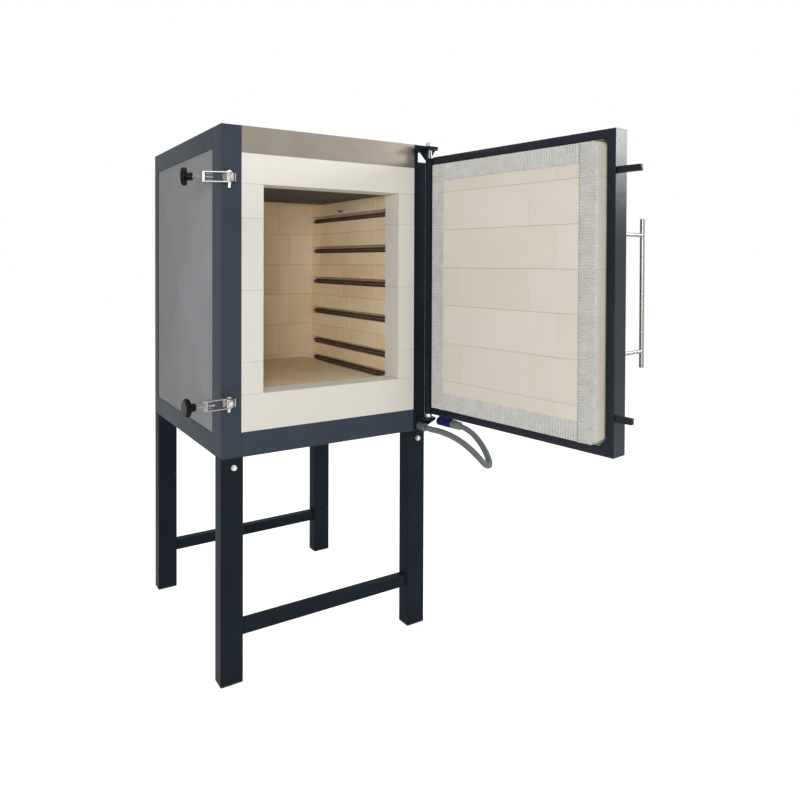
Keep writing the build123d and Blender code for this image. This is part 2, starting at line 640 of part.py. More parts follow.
DOOR_X = (DOOR_START, DOOR_START + DOOR_W)
DOOR_Y = (DOOR_INNER, DOOR_INNER + DOOR_T)
TRAY_X = (DOOR_X[0] + SHEET, DOOR_X[1] - SHEET)
TRAY_Y = (DOOR_Y[0] + SHEET, DOOR_Y[1] - SHEET)
TRAY_Z = (DOOR_Z[0] + SHEET, DOOR_Z[1] - SHEET)
PLUG_X = (DOOR_X[0] + PLUG_BORDER, DOOR_X[1] - PLUG_BORDER)
PLUG_Y = (DOOR_Y[0] - PLUG_OUT, DOOR_Y[0] - PLUG_OUT + PLUG_T)
DOOR_PANEL_Y = (TRAY_Y[1] - PANEL_T, TRAY_Y[1])


def grown(span, by):
    """A (low, high) span made larger at both ends."""
    return (span[0] - by, span[1] + by)


with BuildPart(DOOR) as hinge_tube:
    rod((0, 0, DOOR_Z[0]), (0, 0, 1), HINGE_R, DOOR_Z[1] - 2 - DOOR_Z[0])
    block((PIN_R + 2, DOOR_X[0]), (DOOR_Y[0], DOOR_Y[0] + 6), grown(DOOR_Z, -15))
    rod((0, 0, DOOR_Z[0]), (0, 0, 1), PIN_R + RUN, DOOR_Z[1] - DOOR_Z[0], Mode.SUBTRACT)
keep(hinge_tube.part, "hinge_tube")

FACE = Plane(
    DOOR.from_local_coords((0, PLUG_Y[0], 0)), x_dir=DOOR_U, z_dir=-DOOR.y_dir
)


def plug_outline():
    """The plug seen from the chamber: the free edge has a round top and a cut bottom corner."""
    with BuildSketch(FACE) as outline:
        with BuildLine() as edge:
            Polyline(
                (PLUG_X[0], PLUG_Z[0]), (PLUG_X[1] - CORNER_C, PLUG_Z[0]),
                (PLUG_X[1], PLUG_Z[0] + CORNER_C), (PLUG_X[1], PLUG_Z[1] - CORNER_R),
            )
            RadiusArc((PLUG_X[1], PLUG_Z[1] - CORNER_R), (PLUG_X[1] - CORNER_R, PLUG_Z[1]), -CORNER_R)
            Polyline((PLUG_X[1] - CORNER_R, PLUG_Z[1]), (PLUG_X[0], PLUG_Z[1]), (PLUG_X[0], PLUG_Z[0]))
        make_face()
    return outline.sketch


def slot_outline():
    """The plug's outline with the open slot round it."""
    return offset(plug_outline(), PLUG_SLOT, kind=Kind.INTERSECTION, mode=Mode.PRIVATE)


with BuildPart(DOOR) as door_frame:
    block(DOOR_X, DOOR_Y, DOOR_Z)
    block(TRAY_X, TRAY_Y, TRAY_Z, Mode.SUBTRACT)
    extrude(slot_outline(), amount=-PLUG_OUT - SHEET, mode=Mode.SUBTRACT)
    window = (grown(DOOR_X, -OUTER_LIP), grown(DOOR_Z, -OUTER_LIP))
    block(window[0], (TRAY_Y[1], DOOR_Y[1]), window[1], Mode.SUBTRACT)
keep(door_frame.part, "door_frame")

DOOR_MIDDLE = DOOR.to_local_coords(DOOR.origin) + Vector(sum(DOOR_X) / 2, TRAY_Y[1], sum(DOOR_Z) / 2)
OUTSIDE = Plane(
    DOOR.from_local_coords(DOOR_MIDDLE), x_dir=-DOOR_U, z_dir=DOOR.y_dir
)
with BuildPart(DOOR) as door_panel:
    block(TRAY_X, DOOR_PANEL_Y, TRAY_Z)
    inset = 2 * (OUTER_LIP + PRESS_EDGE)
    press = (DOOR_W - inset, DOOR_Z[1] - DOOR_Z[0] - inset, PRESS_H + SHEET)
    loft(pyramid(OUTSIDE, *press))
    loft(pyramid(OUTSIDE.offset(-PANEL_T), *press), mode=Mode.SUBTRACT)
keep(door_panel.part, "door_panel")

with BuildPart(DOOR) as door_insulation:
    block(TRAY_X, (TRAY_Y[0], DOOR_PANEL_Y[0]), TRAY_Z)
    block(PLUG_X, (TRAY_Y[0], PLUG_Y[1]), PLUG_Z, Mode.SUBTRACT)
    extrude(slot_outline(), amount=-PLUG_OUT - SLOT_DEEP, mode=Mode.SUBTRACT)
keep(door_insulation.part, "door_insulation")

with BuildPart(DOOR) as door_bricks:
    for row, z in enumerate(spans(PLUG_Z[0], DOOR_COURSES, PLUG_Z[1])):
        for x in spans(PLUG_X[0], DOOR_JOINTS[row % 2], PLUG_X[1]):
            block(x, PLUG_Y, z)
    inward = [f for f in door_bricks.faces() if f.normal_at().dot(DOOR.y_dir) < -0.99]
    chamfer([e for f in inward for e in f.edges()], BRICK_EDGE)
    extrude(plug_outline(), amount=-PLUG_T, mode=Mode.INTERSECT)
keep(door_bricks.part, "door_bricks")

with BuildPart(DOOR) as door_seal:
    extrude(plug_outline(), amount=SEAL_T)
    field = (grown(PLUG_X, -SEAL_W), grown(PLUG_Z, -SEAL_W))
    block(field[0], (PLUG_Y[0] - SEAL_T, PLUG_Y[0]), field[1], Mode.SUBTRACT)
    for x, rise in ((field[0][0], 1), (field[0][1], -1)):
        for z, side in ((field[1][0], 1), (field[1][1], -1)):
            lean = rise * side
            cut = Plane(
                DOOR.from_local_coords((x, PLUG_Y[0] - SEAL_T, z)),
                x_dir=DOOR_U + Vector(0, 0, lean),
                z_dir=-DOOR.y_dir,
            )
            with BuildSketch(cut) as slit:
                Rectangle(4 * SEAL_W, MITRE)
            extrude(slit.sketch, amount=-SEAL_T, mode=Mode.SUBTRACT)
keep(door_seal.part, "door_seal")

with BuildPart(DOOR) as catches:
    for z, length in zip(CATCH_Z, CATCH_L):
        y = DOOR_Y[0] + CATCH_IN
        block((DOOR_X[1], DOOR_X[1] + length), (y, y + CATCH_T), (z - CATCH_H / 2, z + CATCH_H / 2))
keep(catches.part, "door_catches")

BAR_Y = DOOR_Y[1] + HANDLE_OUT
with BuildPart(DOOR) as handle_bar:
    rod((HANDLE_X, BAR_Y, HANDLE_Z - HANDLE_L / 2), (0, 0, 1), HANDLE_R, HANDLE_L)
    fillet(handle_bar.edges().filter_by(GeomType.CIRCLE), 1.5)
keep(handle_bar.part, "handle_bar")

with BuildPart(DOOR) as handle_posts:
    for z in (HANDLE_Z - POST_SPACING / 2, HANDLE_Z + POST_SPACING / 2):
        rod((HANDLE_X, DOOR_Y[1], z), (0, 1, 0), POST_R, HANDLE_OUT)
    start = (HANDLE_X, BAR_Y, HANDLE_Z - HANDLE_L / 2)
    rod(start, (0, 0, 1), HANDLE_R, HANDLE_L, Mode.SUBTRACT)
keep(handle_posts.part, "handle_posts")

# Door clamps: a stirrup swings on a lug of the left post and its screw presses on the catch

LUG_H = WINDOW_H - 2 * GAP
with BuildPart(BODY) as clamp_bases:
    for z in CLAMP_Z:
        lug = (z - LUG_H / 2, z + LUG_H / 2)
        block((CLAMP_X - 13, CLAMP_X + 18.5), (-4, 0), lug)
        block((CLAMP_X - LUG_R, CLAMP_X + LUG_R), (CLAMP_Y, -4), lug)
        block((CLAMP_X + 14.5, CLAMP_X + 18.5), (CLAMP_Y - 2, -4), lug)
        rod((CLAMP_X, CLAMP_Y, lug[0]), (0, 0, 1), LUG_R, LUG_H)
        rod((CLAMP_X, CLAMP_Y, lug[0]), (0, 0, 1), CLAMP_PIN_R, LUG_H, Mode.SUBTRACT)
        seat = (CLAMP_X, CLAMP_Y - LUG_R + LOCK_SEAT, z)
        rod(seat, (0, -1, 0), LOCK_HEAD_R + 0.5, LUG_R, Mode.SUBTRACT)
        rod(seat, (0, 1, 0), LOCK_R, LUG_R - LOCK_SEAT, Mode.SUBTRACT)
keep(clamp_bases.part, "clamp_bases")

with BuildPart(BODY) as clamp_pins:
    top = WINDOW_H / 2 + STRAP_T
    for z, tail in zip(CLAMP_Z, PIN_TAIL):
        rod((CLAMP_X, CLAMP_Y, z - top - tail), (0, 0, 1), CLAMP_PIN_R, 2 * top + tail + GAP)
        rod((CLAMP_X, CLAMP_Y, z + top + GAP), (0, 0, 1), 1.6 * CLAMP_PIN_R, 2.5)
        seat = (CLAMP_X, CLAMP_Y - LUG_R + LOCK_SEAT, z)
        rod(seat, (0, -1, 0), LOCK_HEAD_R, LOCK_HEAD_T)
        rod(seat, (0, 1, 0), LOCK_R, LUG_R - LOCK_SEAT - CLAMP_PIN_R - GAP)
keep(clamp_pins.part, "clamp_pins")

for level, z, rest in zip(("lower", "upper"), CLAMP_Z, CLAMP_REST):
    ALONG = (-cos(radians(rest)), sin(radians(rest)), 0)
    ARM = Plane((CLAMP_X, CLAMP_Y, STAND_H + z), x_dir=ALONG, z_dir=(0, 0, 1))
    outer = WINDOW_H / 2 + STRAP_T
    with BuildPart(ARM) as stirrup:
        block((0, ARM_L), (-STRAP_W / 2, STRAP_W / 2), (-outer, outer))
        rod((0, 0, -outer), (0, 0, 1), STRAP_W / 2, 2 * outer)
        window = (-STRAP_W, ARM_L - CROSSBAR_T)
        block(window, (-STRAP_W, STRAP_W), (-WINDOW_H / 2, WINDOW_H / 2), Mode.SUBTRACT)
        rod((0, 0, -outer), (0, 0, 1), CLAMP_PIN_R + RUN, 2 * outer, Mode.SUBTRACT)
        rod((0, 0, 0), (1, 0, 0), SPINDLE_R + RUN, ARM_L, Mode.SUBTRACT)
    keep(stirrup.part, f"stirrup_{level}")

    with BuildPart(ARM) as spindle:
        rod((SPINDLE_TIP, 0, 0), (1, 0, 0), SPINDLE_R, KNOB_START - 3 - SPINDLE_TIP)
        chamfer(spindle.edges().filter_by(GeomType.CIRCLE), 0.8)
    keep(spindle.part, f"spindle_{level}")

    with BuildPart(ARM) as knob:
        rod((HUB_START, 0, 0), (1, 0, 0), HUB_R, KNOB_START - HUB_START)
        rod((KNOB_START, 0, 0), (1, 0, 0), KNOB_R, KNOB_END - KNOB_START)
        fillet(knob.edges().filter_by(GeomType.CIRCLE).sort_by(SortBy.RADIUS)[-2:], 5.5)
        for i in range(SCALLOPS):
            angle = radians(360 / SCALLOPS * i)
            reach = KNOB_R + 4
            start = (KNOB_START, reach * cos(angle), reach * sin(angle))
            rod(start, (1, 0, 0), 6, KNOB_END - KNOB_START, Mode.SUBTRACT)
        depth = KNOB_START - 3 - HUB_START + GAP
        rod((HUB_START, 0, 0), (1, 0, 0), SPINDLE_R + RUN, depth, Mode.SUBTRACT)
    keep(knob.part, f"knob_{level}")

# Conduit: a ribbed hose from the fitting on the body to the connector under the door

with BuildPart(BODY) as conduit_gland:
    seat = (FITTING_X, 0, FITTING_Z)
    hexagon(seat, (0, -1, 0), 2 * FITTING_R - 2, 9)
    rod(seat, (0, -1, 0), FITTING_R - 2, FITTING_L)
    rod((FITTING_X, -12, FITTING_Z), (0, -1, 0), FITTING_R, FITTING_L - 12)
    rod((FITTING_X, -FITTING_L, FITTING_Z), (0, 1, 0), HOSE_BORE_R, FITTING_L - 4, Mode.SUBTRACT)
keep(conduit_gland.part, "conduit_gland")

with BuildPart(DOOR) as connector:
    start = (CONNECTOR_X[0], CONNECTOR_Y, CONNECTOR_Z)
    length = CONNECTOR_X[1] - CONNECTOR_X[0]
    rod(start, (1, 0, 0), CONNECTOR_R, length)
    fillet(connector.edges().filter_by(GeomType.CIRCLE), 2)
    hexagon((CONNECTOR_X[1], CONNECTOR_Y, CONNECTOR_Z), (1, 0, 0), 2 * CONNECTOR_R - 2, COUPLING_L / 2)
    rod((CONNECTOR_X[1], CONNECTOR_Y, CONNECTOR_Z), (1, 0, 0), CONNECTOR_R - 1, COUPLING_L)
    block((CONNECTOR_X[0] + 8, CONNECTOR_X[1] - 6), grown((CONNECTOR_Y, CONNECTOR_Y), 8),
          (CONNECTOR_Z, DOOR_Z[0]))
    end = (CONNECTOR_X[1] + COUPLING_L, CONNECTOR_Y, CONNECTOR_Z)
    rod(end, (-1, 0, 0), HOSE_BORE_R, COUPLING_L + 10, Mode.SUBTRACT)
keep(connector.part, "conduit_connector")

HOSE_START = Vector(FITTING_X, -FITTING_L, STAND_H + FITTING_Z)
HOSE_END = DOOR.from_local_coords(end)
HOSE_ROUTE = [
    HOSE_START,
    HOSE_START + Vector(0, -26, 0),
    Vector(666, -97, 643.5),
    Vector(666, -135, 644),
    Vector(666, -172, 641.5),
    Vector(667, -206, 635.5),
    Vector(668, -238, 626),
    Vector(670.5, -265, 614),
    Vector(675, -284.5, 600),
    Vector(686, -293.5, 585.5),
    Vector(704, -288.5, 578.5),
    Vector(721, -272.5, 580),
    Vector(733.5, -251.5, 588.5),
    Vector(741, -231, 602),
    Vector(744, -209, 617.5),
    Vector(743, -190, 632),
    Vector(737, -174, 645),
    Vector(726, -162, 655),
    HOSE_END + DOOR_U * 7,
    HOSE_END,
]
runs = [b - a for a, b in zip(HOSE_ROUTE, HOSE_ROUTE[1:])]
bends = [
    0.45 * min(a.length, b.length) / tan(radians(a.get_angle(b) / 2))
    for a, b in zip(runs, runs[1:])
]
print("hose bend radii", [round(r) for r in bends])
path = FilletPolyline(*HOSE_ROUTE, radius=bends).wire()
print("hose length", round(path.length))
STEADY = Vector(0.2, -0.3, 1)


def across(distance):
    """The plane square to the hose at a distance along it, its X axis always the same way round."""
    t = distance / path.length
    return Plane(path.position_at(t), x_dir=STEADY - path.tangent_at(t) * STEADY.dot(path.tangent_at(t)),
                 z_dir=path.tangent_at(t))


PLAIN = 2 * HOSE_R  # the ends are without ribs
PITCH = (path.length - 2 * PLAIN) / RIBS
RINGS = [(0, HOSE_ROOT_R), (PLAIN, HOSE_ROOT_R)]
for i in range(RIBS):
    for part_of, radius in ((0.15, HOSE_ROOT_R), (0.3, HOSE_R), (0.7, HOSE_R), (0.85, HOSE_ROOT_R)):
        RINGS.append((PLAIN + (i + part_of) * PITCH, radius))
RINGS += [(path.length - PLAIN, HOSE_ROOT_R), (path.length, HOSE_ROOT_R)]
BORE_STEPS = 90

with BuildPart() as conduit:
    for distance, radius in RINGS:
        with BuildSketch(across(distance)):
            Circle(radius)
    loft(ruled=True)
    for i in range(BORE_STEPS + 1):
        with BuildSketch(across(i * path.length / BORE_STEPS)):
            Circle(HOSE_BORE_R)
    loft(ruled=True, mode=Mode.SUBTRACT)
keep(conduit.part, "conduit")
solid_mm3 = conduit.part.volume
print("hose volume", round(solid_mm3), "of a plain tube's",
      round(3.14159 * (HOSE_ROOT_R**2 - HOSE_BORE_R**2) * path.length))
least = min(
    (path.position_at(i / 100) - path.position_at(j / 100)).length
    for i in range(101)
    for j in range(i + 20, 101)
)
print("least gap of the hose to itself", round(least - 2 * HOSE_R, 1))
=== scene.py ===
import bmesh
import bpy
from math import cos, pi, radians, sin
from mathutils import Matrix, Vector, noise


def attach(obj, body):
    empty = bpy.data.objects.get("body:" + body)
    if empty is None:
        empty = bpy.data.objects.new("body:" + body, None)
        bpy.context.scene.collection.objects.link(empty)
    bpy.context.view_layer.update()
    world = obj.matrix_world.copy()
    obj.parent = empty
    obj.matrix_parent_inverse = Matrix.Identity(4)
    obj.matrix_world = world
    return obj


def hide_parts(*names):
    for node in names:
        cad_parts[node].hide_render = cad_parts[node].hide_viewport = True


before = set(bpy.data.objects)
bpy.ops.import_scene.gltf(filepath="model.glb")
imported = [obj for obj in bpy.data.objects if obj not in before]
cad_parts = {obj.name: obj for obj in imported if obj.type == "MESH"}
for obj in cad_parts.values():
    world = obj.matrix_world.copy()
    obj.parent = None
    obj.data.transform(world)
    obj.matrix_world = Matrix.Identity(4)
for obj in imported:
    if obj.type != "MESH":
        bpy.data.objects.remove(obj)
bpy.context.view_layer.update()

# The photographer's camera, at chest height and to the left of the kiln, turned 31 degrees to the right.
# The picture is cut from a larger one, so its centre lies off the lens's axis.
CAMERA_PLACE = (-0.6230, -1.7642, 1.1690)
YAW = -0.544
PITCH = -0.012
ROLL = 0.003
lens = bpy.data.cameras.new("camera")
lens.sensor_width = 36
lens.lens = 30.41
lens.shift_x = 0.0485
lens.shift_y = -0.163
lens.clip_end = 60
camera = bpy.data.objects.new("camera", lens)
bpy.context.scene.collection.objects.link(camera)
camera.matrix_world = (
    Matrix.Translation(CAMERA_PLACE)
    @ Matrix.Rotation(YAW, 4, "Z")
    @ Matrix.Rotation(pi / 2 + PITCH, 4, "X")
    @ Matrix.Rotation(ROLL, 4, "Z")
)
bpy.context.scene.camera = camera

# Conduit: a corrugated plastic hose that takes the leads of the door switch from the body to the door.
# It leaves its fitting forwards, sags in one loop under its own weight and turns up into the connector.
HOSE_ROUTE = [
    (0.6660, -0.0320, 0.6400),
    (0.6660, -0.0580, 0.6400),
    (0.6660, -0.0970, 0.6435),
    (0.6660, -0.1350, 0.6440),
    (0.6660, -0.1720, 0.6415),
    (0.6670, -0.2060, 0.6355),
    (0.6680, -0.2380, 0.6260),
    (0.6705, -0.2650, 0.6140),
    (0.6750, -0.2845, 0.6000),
    (0.6860, -0.2935, 0.5855),
    (0.7040, -0.2885, 0.5785),
    (0.7210, -0.2725, 0.5800),
    (0.7335, -0.2515, 0.5885),
    (0.7410, -0.2310, 0.6020),
    (0.7440, -0.2090, 0.6175),
    (0.7430, -0.1900, 0.6320),
    (0.7370, -0.1740, 0.6450),
    (0.7260, -0.1620, 0.6550),
    (0.7168, -0.1505, 0.6620),
    (0.7158, -0.1436, 0.6620),
]
HOSE_CREST = 0.0092
HOSE_ROOT = 0.0083
RIB_PITCH = 0.0031
PLAIN_END = 2 * HOSE_CREST
route_line = bpy.data.curves.new("conduit_route", "CURVE")
route_line.dimensions = "3D"
route_line.resolution_u = 24
route_spline = route_line.splines.new("NURBS")
route_spline.points.add(len(HOSE_ROUTE) - 1)
for knot, place in zip(route_spline.points, HOSE_ROUTE):
    knot.co = (*place, 1)
route_spline.order_u = 3
route_spline.use_endpoint_u = True
route_object = bpy.data.objects.new("conduit_route", route_line)
bpy.context.scene.collection.objects.link(route_object)
bpy.context.view_layer.update()
traced = bpy.data.meshes.new_from_object(route_object.evaluated_get(bpy.context.evaluated_depsgraph_get()))
hose_path = [vertex.co.copy() for vertex in traced.vertices]
bpy.data.objects.remove(route_object)
bpy.data.meshes.remove(traced)
hose_steps = [(b - a).length for a, b in zip(hose_path, hose_path[1:])]
HOSE_LENGTH = sum(hose_steps)


def along_hose(distance):
    """The point of the hose's path at a distance along it, and the direction there."""
    for start, end, step in zip(hose_path, hose_path[1:], hose_steps):
        if distance <= step:
            return start.lerp(end, distance / step), (end - start).normalized()
        distance -= step
    return hose_path[-1].copy(), (hose_path[-1] - hose_path[-2]).normalized()


def new_piece(name, form, body):
    """The mesh made by bmesh as an object that rides on a body."""
    mesh = bpy.data.meshes.new(name)
    form.to_mesh(mesh)
    form.free()
    piece = bpy.data.objects.new(name, mesh)
    bpy.context.scene.collection.objects.link(piece)
    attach(piece, body)
    return piece


rib_count = round((HOSE_LENGTH - 2 * PLAIN_END) / RIB_PITCH)
rib_pitch = (HOSE_LENGTH - 2 * PLAIN_END) / rib_count
hose_rings = [(0.0, HOSE_ROOT), (PLAIN_END, HOSE_ROOT)]
for rib in range(rib_count):
    for share, radius in ((0.2, HOSE_ROOT), (0.38, HOSE_CREST), (0.62, HOSE_CREST), (0.8, HOSE_ROOT)):
        hose_rings.append((PLAIN_END + (rib + share) * rib_pitch, radius))
hose_rings += [(HOSE_LENGTH - PLAIN_END, HOSE_ROOT), (HOSE_LENGTH, HOSE_ROOT)]
hose_form = bmesh.new()
facing = along_hose(0)[1].to_track_quat("Z", "X")
last_direction = along_hose(0)[1]
last_loop = None
for number, (distance, radius) in enumerate(hose_rings):
    place, direction = along_hose(distance)
    facing = last_direction.rotation_difference(direction) @ facing
    last_direction = direction
    at_end = number in (0, len(hose_rings) - 1)
    ring = bmesh.ops.create_circle(
        hose_form,
        cap_ends=at_end,
        segments=16,
        radius=radius,
        matrix=Matrix.Translation(place) @ facing.to_matrix().to_4x4(),
    )["verts"]
    loop = list({edge for vertex in ring for edge in vertex.link_edges})
    if last_loop:
        bmesh.ops.bridge_loops(hose_form, edges=last_loop + loop)
    last_loop = loop
bmesh.ops.recalc_face_normals(hose_form, faces=hose_form.faces[:])
conduit = new_piece("corrugated_conduit", hose_form, "kiln_body")
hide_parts("conduit")


def photo_colour(red, green, blue):
    """A colour as it is read off a picture, 0 to 255, in the shader's own scale."""
    return [*(((value / 255 + 0.055) / 1.055) ** 2.4 for value in (red, green, blue)), 1.0]


def new_effect(name, inputs, outputs):
    """A node group with named sockets, its input and output nodes in place."""
    effect = bpy.data.node_groups.new(name, "ShaderNodeTree")
    kinds = {"colour": "NodeSocketColor", "value": "NodeSocketFloat", "vector": "NodeSocketVector"}
    for label, kind, value in inputs:
        effect.interface.new_socket(label, in_out="INPUT", socket_type=kinds[kind]).default_value = value
    for label, kind in outputs:
        effect.interface.new_socket(label, in_out="OUTPUT", socket_type=kinds[kind])
    return effect, effect.nodes.new("NodeGroupInput").outputs, effect.nodes.new("NodeGroupOutput").inputs


def put_node(tree, kind, mode=None, **values):
    """A shader node with a mode, if it has one, and values for its inputs by name or number."""
    node = tree.nodes.new("ShaderNode" + kind)
    if mode:
        setattr(node, "data_type" if kind == "Mix" else "operation", mode)
    for label, value in values.items():
        key = int(label[1:]) if label[0] == "n" and label[1:].isdigit() else label.replace("_", " ")
        node.inputs[key].default_value = value
    return node


def surface(name, roughness=0.5, metallic=0.0, specular=0.5):
    """A new material whose shader has the values that are the same all over."""
    made = bpy.data.materials.new(name)
    made.use_nodes = True
    shader = made.node_tree.nodes["Principled BSDF"]
    shader.inputs["Roughness"].default_value = roughness
    shader.inputs["Metallic"].default_value = metallic
    shader.inputs["Specular IOR Level"].default_value = specular
    return made


def dress(made, effect, relief, values):
    """Place an effect in a material with its own values, and lead what it gives to the shader."""
    tree = made.node_tree
    shader = tree.nodes["Principled BSDF"]
    placed = tree.nodes.new("ShaderNodeGroup")
    placed.node_tree = effect
    for label, value in values.items():
        placed.inputs[label].default_value = value
    tree.links.new(placed.outputs["Colour"], shader.inputs["Base Color"])
    tree.links.new(placed.outputs["Roughness"], shader.inputs["Roughness"])
    bump = put_node(tree, "Bump", Strength=1.0, Distance=relief)
    tree.links.new(placed.outputs["Height"], bump.inputs["Height"])
    tree.links.new(bump.outputs["Normal"], shader.inputs["Normal"])
    return placed


def give(material, *names):
    """The named pieces of the frame get this material."""
    for name in names:
        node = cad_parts[name]
        for place in node.material_slots:
            place.material = material


# The grain of baked powder paint and of moulded plastic: a fine pebbled skin, and broad, faint clouds
# of lighter and darker colour where the coat is thicker or the hand has polished it.
coat_grain, given, result = new_effect(
    "coat_grain",
    [("Colour", "colour", (0.1, 0.1, 0.1, 1)), ("Grain per metre", "value", 600.0),
     ("Roughness", "value", 0.4), ("Unevenness", "value", 0.08)],
    [("Colour", "colour"), ("Roughness", "value"), ("Height", "value")],
)
place = put_node(coat_grain, "TexCoord").outputs["Object"]
pebbles = put_node(coat_grain, "TexNoise", Detail=2.0, Roughness=0.5)
clouds = put_node(coat_grain, "TexNoise", Scale=5.0, Detail=3.0, Roughness=0.55)
low = put_node(coat_grain, "Math", "SUBTRACT", n0=1.0)
high = put_node(coat_grain, "Math", "ADD", n0=1.0)
shade = put_node(coat_grain, "MapRange", From_Min=0.3, From_Max=0.7)
tinted = put_node(coat_grain, "VectorMath", "SCALE")
rub = put_node(coat_grain, "MapRange", From_Min=0.3, From_Max=0.7, To_Min=-0.05, To_Max=0.05)
total = put_node(coat_grain, "Math", "ADD")
for start, end in (
    (place, pebbles.inputs["Vector"]),
    (place, clouds.inputs["Vector"]),
    (given["Grain per metre"], pebbles.inputs["Scale"]),
    (given["Unevenness"], low.inputs[1]),
    (given["Unevenness"], high.inputs[1]),
    (clouds.outputs["Fac"], shade.inputs["Value"]),
    (low.outputs[0], shade.inputs["To Min"]),
    (high.outputs[0], shade.inputs["To Max"]),
    (given["Colour"], tinted.inputs[0]),
    (shade.outputs["Result"], tinted.inputs["Scale"]),
    (tinted.outputs[0], result["Colour"]),
    (clouds.outputs["Fac"], rub.inputs["Value"]),
    (rub.outputs["Result"], total.inputs[0]),
    (given["Roughness"], total.inputs[1]),
    (total.outputs[0], result["Roughness"]),
    (pebbles.outputs["Fac"], result["Height"]),
):
    coat_grain.links.new(start, end)

conduit_plastic = surface("conduit_plastic", specular=0.3)
dress(conduit_plastic, coat_grain, 0.0002,
      {"Colour": photo_colour(114, 120, 123), "Grain per metre": 1500.0, "Roughness": 0.5})
conduit.data.materials.append(conduit_plastic)

# Fittings of the conduit: a grey union nut on the body, and under the door a dark blue plug connector
# with a grey-green coupling nut. Both are moulded nylon.
fitting_plastic = surface("fitting_plastic")
dress(fitting_plastic, coat_grain, 0.0002,
      {"Colour": photo_colour(118, 121, 122), "Grain per metre": 1200.0, "Roughness": 0.45})
give(fitting_plastic, "conduit_gland")

HINGE_LINE = (0.6745, -0.0363, 0.626)
DOOR_TURN = -radians(82)
COUPLING_FROM = 0.081
connector_plastic = surface("connector_plastic", specular=0.3)
grain = dress(connector_plastic, coat_grain, 0.0002, {"Grain per metre": 1200.0, "Roughness": 0.35})
tree = connector_plastic.node_tree
local = put_node(tree, "Mapping", Location=HINGE_LINE, Rotation=(0, 0, DOOR_TURN))
local.vector_type = "TEXTURE"
axes = put_node(tree, "SeparateXYZ")
on_nut = put_node(tree, "Math", "GREATER_THAN", n1=COUPLING_FROM)
nylon = put_node(tree, "Mix", "RGBA", n6=photo_colour(26, 31, 98), n7=photo_colour(128, 142, 140))
tree.links.new(put_node(tree, "TexCoord").outputs["Object"], local.inputs["Vector"])
tree.links.new(local.outputs["Vector"], axes.inputs["Vector"])
tree.links.new(axes.outputs["X"], on_nut.inputs[0])
tree.links.new(on_nut.outputs[0], nylon.inputs[0])
tree.links.new(nylon.outputs[2], grain.inputs["Colour"])
give(connector_plastic, "conduit_connector")

# Stand: four box legs with a cross rail welded between each front and back pair, powder coated in a
# dark blue grey, on black plastic feet. A galvanised bolt through each leg holds the body's spigot.
# One paint drawn in two tones: the frame's lighter tone is painted light, the stand's darker tone painted
# shade.
LIT_ANTHRACITE = photo_colour(67, 74, 85)
SHADED_STAND_BLUE = photo_colour(33, 40, 47)


def soften(width, *names):
    """Round the folded and cut edges of sheet metal, as the press and the paint leave them."""
    for name in names:
        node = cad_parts[name]
        joined = node.modifiers.new("joined", "WELD")
        joined.merge_threshold = 0.00002
        rounded = node.modifiers.new("rounded", "BEVEL")
        rounded.width = width
        rounded.segments = 2
        rounded.limit_method = "ANGLE"
        rounded.angle_limit = radians(40)


# The stand's darker tone of the frame's paint: painted shade.
shaded_stand_paint = surface("shaded_stand_paint", specular=0.02)
dress(shaded_stand_paint, coat_grain, 0.00025,
      {"Colour": SHADED_STAND_BLUE, "Grain per metre": 700.0, "Roughness": 0.36, "Unevenness": 0.1})
LEGS = ("leg_front_left", "leg_front_right", "leg_rear_left", "leg_rear_right")
give(shaded_stand_paint, *LEGS, "stand_rail_front", "stand_rail_rear")
soften(0.0012, "stand_rail_front", "stand_rail_rear")

foot_plastic = surface("foot_plastic")
dress(foot_plastic, coat_grain, 0.0002,
      {"Colour": photo_colour(34, 36, 38), "Grain per metre": 900.0, "Roughness": 0.6})
give(foot_plastic, "foot_caps")

# Zinc plate: bright, a little clouded and yellowed, with fine lines left by the wire or the lathe.
metal_lines, given, result = new_effect(
    "metal_lines",
    [("Colour", "colour", (0.6, 0.6, 0.6, 1)), ("Across the lines", "vector", (1.0, 1.0, 40.0)),
     ("Lines per metre", "value", 200.0), ("Roughness", "value", 0.3), ("Unevenness", "value", 0.1)],
    [("Colour", "colour"), ("Roughness", "value"), ("Height", "value")],
)
place = put_node(metal_lines, "TexCoord").outputs["Object"]
stretched = put_node(metal_lines, "VectorMath", "MULTIPLY")
lines = put_node(metal_lines, "TexNoise", Detail=3.0, Roughness=0.6)
clouds = put_node(metal_lines, "TexNoise", Scale=14.0, Detail=2.0)
low = put_node(metal_lines, "Math", "SUBTRACT", n0=1.0)
high = put_node(metal_lines, "Math", "ADD", n0=1.0)
both = put_node(metal_lines, "Math", "MULTIPLY_ADD", n1=0.5)
shade = put_node(metal_lines, "MapRange", From_Min=0.6, From_Max=0.9)
tinted = put_node(metal_lines, "VectorMath", "SCALE")
rub = put_node(metal_lines, "MapRange", From_Min=0.3, From_Max=0.7, To_Min=-0.08, To_Max=0.08)
total = put_node(metal_lines, "Math", "ADD")
